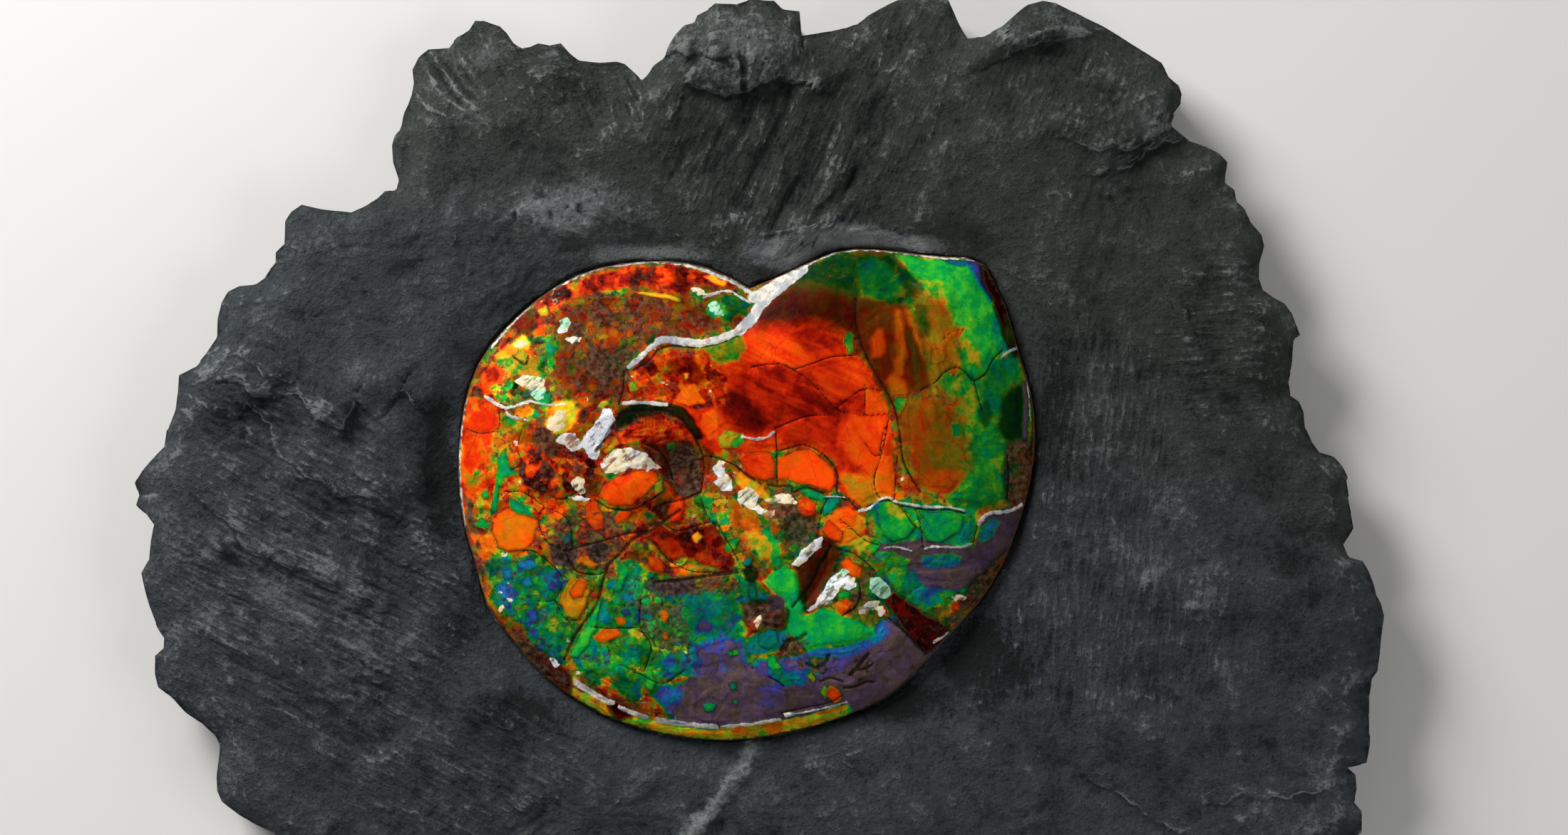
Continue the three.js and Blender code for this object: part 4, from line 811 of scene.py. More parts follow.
def nearest_on(x, y, line):
    """Nearest point on an open line, the distance to it, and +1 left of the line or -1 right of it."""
    best = np.full(len(x), np.inf)
    found_x, found_y, side = x.copy(), y.copy(), np.ones(len(x))
    for (start_x, start_y), (end_x, end_y) in zip(line[:-1], line[1:]):
        run_x, run_y = end_x - start_x, end_y - start_y
        share = ((x - start_x) * run_x + (y - start_y) * run_y) / (run_x**2 + run_y**2)
        share = np.clip(share, 0, 1)
        foot_x, foot_y = start_x + run_x * share, start_y + run_y * share
        distance = np.hypot(x - foot_x, y - foot_y)
        closer = distance < best
        best = np.where(closer, distance, best)
        found_x = np.where(closer, foot_x, found_x)
        found_y = np.where(closer, foot_y, found_y)
        left = run_x * (y - foot_y) - run_y * (x - foot_x) >= 0
        side = np.where(closer, np.where(left, 1, -1), side)
    return found_x, found_y, best, side


def depth_inside(x, y, corners):
    """Distance to the border of an area, positive inside it."""
    closed = np.vstack([corners, corners[:1]])
    distance = nearest_on(x, y, closed)[2]
    within = np.zeros(len(x), bool)
    for (start_x, start_y), (end_x, end_y) in zip(closed[:-1], closed[1:]):
        if start_y != end_y:
            crossing_x = start_x + (end_x - start_x) * (y - start_y) / (end_y - start_y)
            within ^= ((start_y > y) != (end_y > y)) & (x < crossing_x)
    return np.where(within, distance, -distance)


def patch(x, y, middle, half_size, edge):
    """1 in the middle of an ellipse given in pixels, fading to 0 at its rim."""
    (middle_x, middle_y), = place([middle])
    across, up = half_size[0] * PIXEL, half_size[1] * PIXEL
    return ease((1 - np.hypot((x - middle_x) / across, (y - middle_y) / up)) / edge)


def smooth_line(points):
    """A curve through given points, with more points between them."""
    points = place(points)
    ends = np.vstack([2 * points[0] - points[1], points, 2 * points[-1] - points[-2]])
    shares = np.arange(CURVE_STEPS)[:, None] / CURVE_STEPS
    curve = []
    for a, b, c, d in zip(ends[:-3], ends[1:-2], ends[2:-1], ends[3:]):
        bend = (3 * b - a - 3 * c + d) * shares + (2 * a - 5 * b + 4 * c - d)
        curve.append(b + 0.5 * ((c - a) * shares + bend * shares**2))
    return np.vstack([*curve, points[-1:]])


# Meshes
def select_only(piece):
    if bpy.context.object and bpy.context.object.mode != "OBJECT":
        bpy.ops.object.mode_set(mode="OBJECT")
    bpy.ops.object.select_all(action="DESELECT")
    piece.select_set(True)
    bpy.context.view_layer.objects.active = piece


def read(items, field):
    """Three numbers of each item, a row for each."""
    values = np.zeros(len(items) * 3)
    items.foreach_get(field, values)
    return values.reshape(-1, 3)


def points_of(piece):
    """The piece's points in mm, as three rows."""
    return read(piece.data.vertices, "co").T / MM


def move_points(piece, x, y, z):
    piece.data.vertices.foreach_set("co", np.stack([x, y, z], axis=1).ravel() * MM)
    piece.data.update()


def keep(piece, name, values):
    """Keeps one number a point on the mesh, for the finish to read."""
    layer = piece.data.attributes.new(name, "FLOAT", "POINT")
    layer.data.foreach_set("value", np.asarray(values, np.float32))


def copy_of(node, name):
    """A copy of a solid, merged into one skin."""
    piece = bpy.data.objects.new(name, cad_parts[node].data.copy())
    bpy.context.scene.collection.objects.link(piece)
    piece.data.materials.clear()
    select_only(piece)
    bpy.ops.object.mode_set(mode="EDIT")
    bpy.ops.mesh.select_all(action="SELECT")
    bpy.ops.mesh.remove_doubles(threshold=MERGE_WITHIN * MM)
    bpy.ops.mesh.customdata_custom_splitnormals_clear()
    bpy.ops.object.mode_set(mode="OBJECT")
    return piece


def faces_of(piece):
    """Middles in mm and normals of all faces."""
    return read(piece.data.polygons, "center").T / MM, read(piece.data.polygons, "normal").T


def divide(piece, chosen, cuts):
    """Subdivides the chosen faces."""
    select_only(piece)
    bpy.ops.object.mode_set(mode="EDIT")
    bpy.ops.mesh.select_mode(type="FACE")
    bpy.ops.mesh.select_all(action="DESELECT")
    bpy.ops.object.mode_set(mode="OBJECT")
    piece.data.polygons.foreach_set("select", chosen)
    bpy.ops.object.mode_set(mode="EDIT")
    bpy.ops.mesh.subdivide(number_cuts=cuts)
    bpy.ops.object.mode_set(mode="OBJECT")


def round_off(piece, free, repeats):
    """Rounds the facets of the free points, and holds the others."""
    group = piece.vertex_groups.new(name="free")
    group.add([int(i) for i in np.nonzero(free)[0]], 1.0, "REPLACE")
    modifier = piece.modifiers.new("round", "SMOOTH")
    modifier.vertex_group = group.name
    modifier.factor = 0.5
    modifier.iterations = repeats
    select_only(piece)
    bpy.ops.object.modifier_apply(modifier=modifier.name)
    piece.vertex_groups.clear()


def settled(piece, values, repeats):
    """Values evened out over the mesh's own edges."""
    edges = np.zeros(len(piece.data.edges) * 2, np.int64)
    piece.data.edges.foreach_get("vertices", edges)
    first, second = edges.reshape(-1, 2).T
    count = len(values)
    degree = np.bincount(first, minlength=count) + np.bincount(second, minlength=count)
    for _ in range(repeats):
        total = np.bincount(first, values[second], count) + np.bincount(second, values[first], count)
        values = 0.5 * values + 0.5 * total / np.maximum(degree, 1)
    return values


def fossil_rim():
    """The fossil's edge in mm, in order around it: the widest ring of its solid."""
    x, y, z = points_of(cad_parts["ammonite"])
    angle, radius = np.arctan2(y, x), np.hypot(x, y)
    places = np.unique(np.round(np.stack([angle, radius, x, y, z], axis=1), 3), axis=0)
    ring = places[np.abs(places[:, 4] - FLANK_HEIGHT) < RING_WITHIN]
    middle = ring[:, 2:4].mean(0)
    return ring[np.argsort(np.arctan2(ring[:, 3] - middle[1], ring[:, 2] - middle[0])), 2:4]


# The slab, in mm. AXIS is the middle that its outline is built around, FLANK_HEIGHT the height of the
# fossil's widest ring. A pair gives first an amount and then the size of its lumps
AXIS = (-7, -2)
FLANK_HEIGHT = 32.0
LOWEST_TOP = 15.5
EDGE_ROWS = 4
ROUGHNESS_LAYERS = [(0.70, 46), (0.36, 13), (0.13, 4.5)]
TERRACE = {"step": 1.5, "sharp": 5.0, "usual": 0.25, "most": 0.75}
TERRACE_WANDER = (1.1, 26)
TERRACE_PATCHES = (0.55, 70)
GRAIN_PATCHES = (0.5, 22)
GRAIN_BASE = 0.65
CRUST_PLATE = 6.5
CRUST_LEAN = 0.16
CRUST_CRUMB = 3.4
CRUMB_SHARE = 0.6
LEDGE_WANDER = (2.2, 9)
LEDGE_SHARE = 0.6
LIP_REACH = 6.0
SHARP_DROP = 1.25
LINE_WOBBLE = (0.5, 5)
LINE_FOOT = 1.6
VEIN_RISE = 0.4
WALL_REACH = 12
WALL_LAYER = 2.4
WALL_WANDER = (0.8, 24)
WALL_BITE = 1.1
BITE_LENGTH = 9
LAYER_OFFSET = 40
ALONG_WALL = 200
SLAB_CUTS = 5
WALL_CUTS = 2
SLAB_ROUNDING = 14
# Upward share of a face's direction: below which it is wall, or underside
WALL_FACING = 0.25
UNDERSIDE_FACING = -0.95
# Where the wall's finish begins, and how softly
WALL_MARK = (0.6, 0.3)
# What stays clear of the carving: the seat, the fossil's rim, the slab's edge and its foot
SEAT_MARGIN = 0.6
RIM_MARGIN = 0.8
EDGE_MARGIN = 0.3
FOOT_HEIGHT = 0.5
# Up to RIM_CALM from the fossil the relief grows from a share of CALM_RELIEF to the whole
RIM_CALM = 9
CALM_RELIEF = 0.12
# How the two height marks are read, which the finish paints as wear, painted highlight and painted shade:
# rounds of evening out, height that counts as one, and the limit
WEAR_LIGHT_AND_SHADE = (6, 0.45, 1.5)
LIFT = (60, 1.6, 1)
# Softness of the rim of a patch, as a share of its size
EDGE = {"grain": 0.5, "crust": 0.6, "shade": 0.9, "flow": 0.5, "growth": 0.6}


def slab_relief(x, y, z):
    """All that is carved into the slab's top."""
    layers = enumerate(ROUGHNESS_LAYERS)
    height = sum(rise * fractal(x, y, size, SEED["roughness"] + 5 * k, 3) for k, (rise, size) in layers)
    height += grain_relief(x, y)
    height += crust_relief(x, y)
    height += terrace_relief(x, y, z)
    height += ledge_relief(*ledge_wander(x, y))
    height += line_relief(x, y)
    return height


def ledge_wander(x, y):
    """Places pushed about, so that the listed ledges break raggedly."""
    wander, size = LEDGE_WANDER
    push = [wander * fractal(x, y, size, SEED["ledge wander"] + way, 3) for way in (0, 1)]
    return x + push[0], y + push[1]


def grain_relief(x, y):
    """Streaks of the rock and of the tool, patch by patch."""
    swell, size = GRAIN_PATCHES
    height = np.zeros(len(x))
    for index, (_, middle, half_size, degrees, length, width, rise) in enumerate(GRAINS):
        share = patch(x, y, middle, half_size, EDGE["grain"])
        inside = np.nonzero(share > 0)[0]
        ridges = streaks(x[inside], y[inside], degrees, length, width, SEED["grain"] + 3 * index)
        patchy = GRAIN_BASE + swell * noise(x[inside], y[inside], size, SEED["patchy grain"] + index)
        height[inside] += rise * share[inside] * patchy * ridges
    return height


def crust_relief(x, y):
    """Tilted plates of rock with crumbs on them."""
    height = np.zeros(len(x))
    for index, (middle, half_size, rise) in enumerate(CRUSTS):
        share = patch(x, y, middle, half_size, EDGE["crust"])
        inside = np.nonzero(share > 0)[0]
        at = x[inside], y[inside]
        (off_x, off_y, lean_x, lean_y, level), _ = cells(*at, CRUST_PLATE, SEED["crust plates"] + 7 * index)
        plates = swing(level, 1) + CRUST_LEAN * (swing(lean_x, off_x) + swing(lean_y, off_y))
        crumbs = swing(cells(*at, CRUST_CRUMB, SEED["crust crumbs"] + 7 * index)[0][4], 1)
        height[inside] += rise * share[inside] * (plates + CRUMB_SHARE * crumbs)
    return height


def terrace_relief(x, y, z):
    """Steps that follow the rock's own level, as splitting shale leaves them."""
    wander, size = TERRACE_WANDER
    level = (z + wander * fractal(x, y, size, SEED["terraces"])) / TERRACE["step"]
    part = level - np.floor(level)
    stair = ease(0.5 + swing(part, TERRACE["sharp"]))
    swell, size = TERRACE_PATCHES
    strength = TERRACE["usual"] + swell * noise(x, y, size, SEED["terrace strength"])
    strength = np.clip(strength, 0, TERRACE["most"])
    return TERRACE["step"] * strength * (stair - part)


def ledge_relief(x, y):
    """The listed ledges, each fading away from its line."""
    height = np.zeros(len(x))
    for drop, reach, lip, points in LEDGES:
        line = place(points)
        inside = near(x, y, line, reach)
        _, _, distance, side = nearest_on(x[inside], y[inside], line)
        rise = ease(0.5 + distance * side / (2 * lip)) * np.clip(1 - distance / reach, 0, 1)
        height[inside] += LEDGE_SHARE * drop * rise
    return height


def line_relief(x, y):
    """Cuts, raised threads and the pale vein."""
    height = np.zeros(len(x))
    lines = [(-depth, width, points) for depth, width, points in TOOL_STROKES]
    lines += RIDGES
    lines += [(VEIN_RISE, VEIN_HALF_WIDTH, VEIN)]
    wobble, size = LINE_WOBBLE
    for rise, half_width, points in lines:
        line = smooth_line(points)
        inside = near(x, y, line, 2 * half_width)
        push = wobble * noise(x[inside], y[inside], size, SEED["line wobble"])
        distance = nearest_on(x[inside], y[inside], line)[2] + push * half_width
        height[inside] += rise * ease(1 - distance / (LINE_FOOT * half_width))
    return height


def wall_bite(x, y, z):
    """How far the split layers of the broken walls step in."""
    wander, size = WALL_WANDER
    layer = np.floor(z / WALL_LAYER + wander * noise(x, y, size, SEED["wall layers"]))
    along = np.arctan2(y, x) * ALONG_WALL
    return WALL_BITE * (0.5 + 0.5 * noise(along, layer * LAYER_OFFSET, BITE_LENGTH, SEED["wall bite"]))


def slab_edge():
    """The slab's edge in mm, in order around it: the outermost point over each corner of its foot."""
    x, y, _ = points_of(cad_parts["shale_matrix"])
    x, y = x - AXIS[0], y - AXIS[1]
    places = np.unique(np.round(np.stack([x, y], axis=1), 3), axis=0)
    angles = np.round(np.arctan2(places[:, 1], places[:, 0]), 4)
    radii = np.hypot(places[:, 0], places[:, 1])
    corners = []
    for angle in np.unique(angles):
        over = angles == angle
        if over.sum() >= EDGE_ROWS:
            corners.append(places[over][radii[over].argmax()])
    return np.array(corners) + AXIS


def divide_slab(piece, rim, edge):
    """Finer faces on the slab's top, and somewhat finer ones on its walls."""
    middles, normals = faces_of(piece)
    outside = depth_inside(middles[0], middles[1], rim) < -SEAT_MARGIN
    divide(piece, outside & (normals[2] > WALL_FACING) & (middles[2] > LOWEST_TOP), SLAB_CUTS)
    middles, normals = faces_of(piece)
    outside = depth_inside(middles[0], middles[1], edge) < WALL_REACH
    low = (normals[2] <= WALL_FACING) | (middles[2] <= LOWEST_TOP)
    divide(piece, outside & low & (normals[2] > UNDERSIDE_FACING), WALL_CUTS)


def shale_slab(rim):
    """The slab: its solid, divided, rounded, carved and marked."""
    piece = copy_of("shale_matrix", "shale_slab")
    edge = slab_edge()
    divide_slab(piece, rim, edge)
    x, y, z = points_of(piece)
    from_rim, from_edge = -depth_inside(x, y, rim), depth_inside(x, y, edge)
    on_top = (from_rim > RIM_MARGIN) & (from_edge > EDGE_MARGIN)
    on_top &= (up_facing(piece) > WALL_FACING) & (z > LOWEST_TOP)
    round_off(piece, on_top, SLAB_ROUNDING)
    x, y, z = points_of(piece)
    calm = ease((from_rim - RIM_MARGIN) / RIM_CALM)
    carved = z + np.where(on_top, slab_relief(x, y, z) * blend(CALM_RELIEF, 1, calm), 0)
    on_wall = (from_edge < WALL_REACH) & ~on_top & (z > FOOT_HEIGHT)
    pull = np.where(on_wall, wall_bite(x, y, z), 0) / np.maximum(np.hypot(x, y), 1)
    move_points(piece, x * (1 - pull), y * (1 - pull), carved)
    keep_slab_marks(piece, carved)
    return piece


def up_facing(piece):
    """How far each point of a piece faces up, from -1 to 1."""
    normals = np.zeros(len(piece.data.vertices) * 3)
    piece.data.vertices.foreach_get("normal", normals)
    return normals.reshape(-1, 3)[:, 2]


def signed_from_ledges(x, y):
    """Distance to the nearest ledge's line: positive on its high side, negative below it."""
    found = np.full(len(x), -LIP_REACH)
    for line in [place(points) for drop, *_, points in LEDGES if drop > SHARP_DROP]:
        inside = near(x, y, line, LIP_REACH)
        _, _, distance, side = nearest_on(x[inside], y[inside], line)
        nearer = distance < np.abs(found[inside])
        found[inside] = np.where(nearer, distance * side, found[inside])
    return found


def keep_slab_marks(piece, z):
    """Keeps on the mesh what the shale's finish needs to know of each place."""
    x, y, _ = points_of(piece)
    # Heights over the surroundings: the finish paints crests pale, partly as wear and partly as painted
    # highlight, and hollows and low places dark as painted shade
    for name, (rounds, height, most) in {"worn": WEAR_LIGHT_AND_SHADE, "lift": LIFT}.items():
        keep(piece, name, np.clip((z - settled(piece, z, rounds)) / height, -most, most))
    # Signed distance to the ledges' lips, where the finish paints a pale highlight and a shadow under it
    keep(piece, "lip", signed_from_ledges(*ledge_wander(x, y)))
    # The shade mark: the rock's tone, with painted shadow in the moat around the fossil and a painted
    # highlight on the ridge above its aperture
    shade = np.zeros(len(x))
    for middle, half_size, amount in PAINTED_SHADE_AND_TONE:
        shade += amount * patch(x, y, middle, half_size, EDGE["shade"])
    keep(piece, "shade", shade)
    keep(piece, "wall", ease((WALL_MARK[0] - up_facing(piece)) / WALL_MARK[1]))
    for name, _, parts in FLOWS:
        keep(piece, name, np.clip(sum(patch(x, y, *part, EDGE["flow"]) for part in parts), 0, 1))
    distance = nearest_on(x, y, smooth_line(VEIN))[2]
    keep(piece, "vein", VEIN_HALF_WIDTH - distance)


# The fossil, in mm. A pair gives first an amount and then the size of its lumps
SHELL_CUTS = 7
SHELL_ROUNDING = 26
SHELL_SPACING = 0.85
SNAP_REACH = 0.47 * SHELL_SPACING
SHELL_FACING = 0.1
FLANK_MARGIN = 0.5
TOP_MARGIN = 1.0
SNAP_MARGIN = 2.2
CALM_REACH = 3
CALM_SHARE = 0.2
BELOW_BOX = 0.05
RIM_MARK = (-5, 60)
CRACK_DEPTH = 0.55
CRACK_SOFT = 0.6
CRACK_THINNING = 0.66
FINEST_CRACK = 0.3
LINE_REACH = 6.0
PALE_RISE = 0.4
PALE_SOFT = 1.2
PALE_START = 0.6
SHARD_RISE = 0.3
SHARD_SOFT = 2.0
SHARD_REACH = 3.0
SHARD_START = 0.3
PLAIN_TINT = 0.5
SWELL = (0.30, 17)
SWELL_WHOLE = 0.3
BARE_SWELL = (0.5, 4)
HOLLOW_SOFT = 4
BORDER_WANDER = ((0.25, 2.4), (0.8, 6), (1.1, 17))
LARGE_PLATE = 8.0
SMALL_PLATE = 3.8
PLATE_BEND = (1.1, 3.4)
PLATE_STEP = 0.55
SMALL_STEP = 0.35
PLATE_LEAN = 0.10
GROOVE_DEPTH = 0.25
GROOVE_WIDTH = 0.7
SMALL_JOINT = 1.4
JOINT_REACH = 3.0
# How far large and small plates shift the play of colour, and its brightness
PLATE_HUE = (0.25, 0.30)
PLATE_LIGHT = (0.8, 0.9)
# Play of colour, brightness and shatter where no area lies
GROUND = (0.62, 0.5, 0.95)
# Areas with a softness up to CRISP are cells with an outline. Those darker than DARK_BELOW also dim what
# is within DARK_REACH. The lowest places in the play stand for mauve, the lowest of all over violet
CRISP = 1.2
DARK_BELOW = 0.31
DARK_REACH = 1.6
MAUVE_BELOW = 0.06
VIOLET_BELOW = 0.04
VIOLET = 0.14
VIOLET_SPREAD = 1.5
CELL_REACH = 3.0
CELL_SHADE = 0.34
CELL_INSET = 0.3
CELL_SOFT = 1.6
CELL_RISE = 0.35
LINE_SHADE = 4
# Growth lines: middle and half sizes in pixels, direction in degrees, length, width and rise in mm, and
# how far they shift the play of colour
STRIAE = [
    ("red field", (1120, 520), (130, 130), -24, 30, 2.6, 0.14, 0.030),
    ("red ribs", (1120, 520), (140, 120), -36, 70, 8.5, 0.30, 0.030),
    ("amber ribs", (1200, 600), (80, 100), -58, 60, 7.0, 0.25, 0.030),
    ("west cells", (955, 530), (70, 45), -55, 18, 2.0, 0.12, 0.035),
    ("inner whorl", (920, 605), (62, 30), 12, 9, 1.3, 0.30, 0.10),
    ("flame field", (1250, 490), (52, 72), 98, 22, 2.2, 0.20, 0.045),
    ("east whorl", (1320, 500), (70, 150), 108, 24, 3.4, 0.16, 0.045),
    ("rim west", (838, 972), (70, 44), -33, 20, 1.4, 0.20, 0.11),
    ("rim middle", (965, 1024), (110, 24), -3, 20, 1.4, 0.20, 0.11),
    ("rim east", (1120, 1008), (80, 22), 9, 20, 1.4, 0.20, 0.11),
    ("top band", (930, 392), (110, 26), 4, 16, 1.4, 0.20, 0.040),
]


def snap_to_lines(x, y, lines, free):
    """Moves points that lie close beside a line onto it, so that a thin line stays whole."""
    for line in lines:
        beside = near(x, y, line, 1)
        beside = beside[free[beside]]
        foot_x, foot_y, distance, _ = nearest_on(x[beside], y[beside], line)
        close = distance < SNAP_REACH
        x[beside[close]], y[beside[close]] = foot_x[close], foot_y[close]
        free[beside[close]] = False
    return x, y


def line_margin(x, y, lines):
    """For each point: how far inside the nearest line's width it lies, negative outside."""
    margin = np.full(len(x), -LINE_REACH)
    for half_width, line in lines:
        inside = near(x, y, line, LINE_REACH)
        distance = nearest_on(x[inside], y[inside], line)[2]
        margin[inside] = np.maximum(margin[inside], half_width - distance)
    return margin


def area_share(x, y, corners, soft):
    """Points in reach of an area, and how much it covers each of them."""
    corners = place(corners)
    inside = near(x, y, corners, soft)
    return inside, ease(0.5 + depth_inside(x[inside], y[inside], corners) / soft)


def wandering(x, y):
    """Slightly warped places, so that the given borders break up as nacre does."""
    for index, (amount, size) in enumerate(BORDER_WANDER):
        seed = SEED["border wander"] + 2 * index
        x = x + amount * noise(x, y, size, seed)
        y = y + amount * noise(x, y, size, seed + 1)
    return x, y


def plates_of(x, y):
    """The cracked nacre's plates, large and small: relief, two numbers for the colour, and the border."""
    amount, size = PLATE_BEND
    push = [amount * noise(x, y, size, SEED["plate bend"] + way) for way in (0, 1)]
    bent = x + push[0], y + push[1]
    (off_x, off_y, lean_x, lean_y, level), border = cells(*bent, LARGE_PLATE, SEED["large plates"])
    (_, _, small_x, small_y, small_level), small_border = cells(*bent, SMALL_PLATE, SEED["small plates"])
    relief = swing(level, PLATE_STEP) + PLATE_LEAN * (swing(lean_x, off_x) + swing(lean_y, off_y))
    relief += swing(small_level, SMALL_STEP) - GROOVE_DEPTH * ease(1 - border / GROOVE_WIDTH)
    hue = swing(lean_x, PLATE_HUE[0]) + swing(small_x, PLATE_HUE[1])
    light = swing(lean_y, PLATE_LIGHT[0]) + swing(small_y, PLATE_LIGHT[1])
    return relief, hue, light, np.minimum(border, small_border * SMALL_JOINT)


def crisp_border(cell, depth, soft):
    """How far inside the nearest crisp border points are, after one more area is laid over them."""
    if soft <= CRISP:
        return np.where((depth > 0) | (np.abs(depth) < np.abs(cell)), depth, cell)
    return np.where(depth > soft, CELL_REACH, cell)


def play_of_colour(x, y):
    """Place in the play of colour, brightness, shatter, crisp borders and mauve at each point."""
    fire, glow, shatter = [np.full(len(x), value) for value in GROUND]
    cell, mauve = np.full(len(x), -CELL_REACH), np.zeros(len(x))
    for _, area_fire, area_glow, area_shatter, soft, corners in COLOUR_AREAS:
        corners = place(corners)
        inside = near(x, y, corners, CELL_REACH + soft)
        depth = depth_inside(x[inside], y[inside], corners)
        share = ease(0.5 + depth / soft)
        if area_fire < MAUVE_BELOW:
            mauve[inside] = blend(mauve[inside], 1, share)
            if area_fire < VIOLET_BELOW:
                fire[inside] = blend(fire[inside], VIOLET, ease(share * VIOLET_SPREAD))
        else:
            mauve[inside] *= 1 - share
            fire[inside] = blend(fire[inside], area_fire, share)
        dimmed = ease(0.5 + (depth + (DARK_REACH if area_glow < DARK_BELOW else 0)) / soft)
        glow[inside] = blend(glow[inside], area_glow, dimmed)
        shatter[inside] = blend(shatter[inside], area_shatter, share)
        cell[inside] = crisp_border(cell[inside], depth, soft)
    cell = np.clip(cell, -CELL_REACH, CELL_REACH)
    glow *= 1 - CELL_SHADE * ease(1 - np.abs(cell - CELL_INSET) / CELL_SOFT)
    return fire, glow, shatter, cell, mauve


def shard_marks(x, y):
    """How deep inside a white shard each point lies, and the tint of that shard."""
    margin, tint = np.full(len(x), -SHARD_REACH), np.full(len(x), PLAIN_TINT)
    for _, shard_tint, corners in SHARDS:
        corners = place(corners)
        inside = near(x, y, corners, SHARD_REACH)
        depth = depth_inside(x[inside], y[inside], corners)
        deeper = depth > margin[inside]
        margin[inside] = np.maximum(margin[inside], depth)
        tint[inside] = np.where(deeper, shard_tint, tint[inside])
    return margin, tint


def bare_rock(x, y):
    """How bare of nacre each point is."""
    bare = np.zeros(len(x))
    for _, amount, soft, corners in BARE_ROCK:
        inside, share = area_share(x, y, corners, soft)
        bare[inside] = np.maximum(bare[inside], amount * share)
    return bare


def striae(x, y):
    """Growth lines: their relief and their play in the colour."""
    relief, hue = np.zeros(len(x)), np.zeros(len(x))
    for index, (_, middle, half_size, degrees, length, width, rise, play) in enumerate(STRIAE):
        seed = SEED["growth lines"] + 4 * index
        lines = patch(x, y, middle, half_size, EDGE["growth"]) * streaks(x, y, degrees, length, width, seed)
        relief += rise * lines
        hue += play * lines
    return relief, hue


def shell_relief(x, y, marks, plates, lines):
    """All that is carved into the fossil's face."""
    amount, size = SWELL
    height = amount * fractal(x, y, size, SEED["swell"], 3) * (SWELL_WHOLE + marks["shatter"])
    height += marks["shatter"] * plates + lines
    height += CELL_RISE * ease(0.5 + marks["cell"] / CELL_SOFT)
    height -= CRACK_DEPTH * ease(0.5 + marks["crack"] / CRACK_SOFT)
    height += PALE_RISE * ease(PALE_START + marks["pale_seam_and_highlight"] / PALE_SOFT)
    height += SHARD_RISE * ease(SHARD_START + marks["pearl"] / SHARD_SOFT)
    amount, size = BARE_SWELL
    height += amount * marks["bare"] * fractal(x, y, size, SEED["bare rock"], 3)
    for _, depth, corners in HOLLOWS:
        inside, share = area_share(x, y, corners, HOLLOW_SOFT)
        height[inside] -= depth * share
    return height


def ammonite_shell(rim):
    """The fossil: its solid, divided, rounded, carved and marked."""
    piece = copy_of("ammonite", "ammonite_shell")
    middles, normals = faces_of(piece)
    divide(piece, (normals[2] > SHELL_FACING) & (middles[2] > FLANK_HEIGHT), SHELL_CUTS)
    x, y, z = points_of(piece)
    from_rim = depth_inside(x, y, rim)
    on_top = (z > FLANK_HEIGHT + FLANK_MARGIN) & (from_rim > TOP_MARGIN)
    round_off(piece, on_top, SHELL_ROUNDING)
    x, y, z = points_of(piece)
    cracks = [(max(FINEST_CRACK, CRACK_THINNING * width), smooth_line(points)) for _, width, points in CRACKS]
    pale = [(width, smooth_line(points)) for _, width, points in PALE_LINES]
    free = on_top & (from_rim > SNAP_MARGIN)
    x, y = snap_to_lines(x, y, [line for _, line in pale + cracks], free)
    plates, plate_hue, plate_light, joint = plates_of(x, y)
    lines, line_hue = striae(x, y)
    marks = shell_marks(x, y, from_rim, cracks, pale)
    marks["fire"] += marks["shatter"] * plate_hue + line_hue
    marks["glow"] *= (1 + marks["shatter"] * plate_light) * (1 - LINE_SHADE * line_hue)
    marks["joint"] = np.minimum(joint, JOINT_REACH)
    calm = blend(CALM_SHARE, 1, ease(from_rim / CALM_REACH))
    height = z + np.where(on_top, shell_relief(x, y, marks, plates, lines) * calm, 0)
    move_points(piece, x, y, np.minimum(height, cad_box[1][2] / MM - BELOW_BOX))
    for name, values in marks.items():
        keep(piece, name, values)
    return piece


def shell_marks(x, y, from_rim, cracks, pale):
    """What the nacre's finish needs to know of each place."""
    bent_x, bent_y = wandering(x, y)
    fire, glow, shatter, cell, mauve = play_of_colour(bent_x, bent_y)
    pearl, tint = shard_marks(bent_x, bent_y)
    return {
        "fire": fire, "glow": glow, "shatter": shatter, "cell": cell, "mauve": mauve, "pearl": pearl,
        "tint": tint, "bare": bare_rock(bent_x, bent_y), "crack": line_margin(x, y, cracks),
        "pale_seam_and_highlight": line_margin(x, y, pale), "from_rim": np.clip(from_rim, *RIM_MARK),
    }

# Finishes
def arithmetic(operation, swapped=False):
    """An operator of Wire that adds one Math node."""
    def add_node(wire, other):
        return wire.finish.sum(operation, *((other, wire) if swapped else (wire, other)))
    return add_node


class Wire:
    """An output of a finish's node. Arithmetic on it adds Math nodes."""

    def __init__(self, finish, socket):
        self.finish = finish
        self.socket = socket

    __add__ = __radd__ = arithmetic("ADD")
    __sub__ = arithmetic("SUBTRACT")
    __rsub__ = arithmetic("SUBTRACT", swapped=True)
    __mul__ = __rmul__ = arithmetic("MULTIPLY")


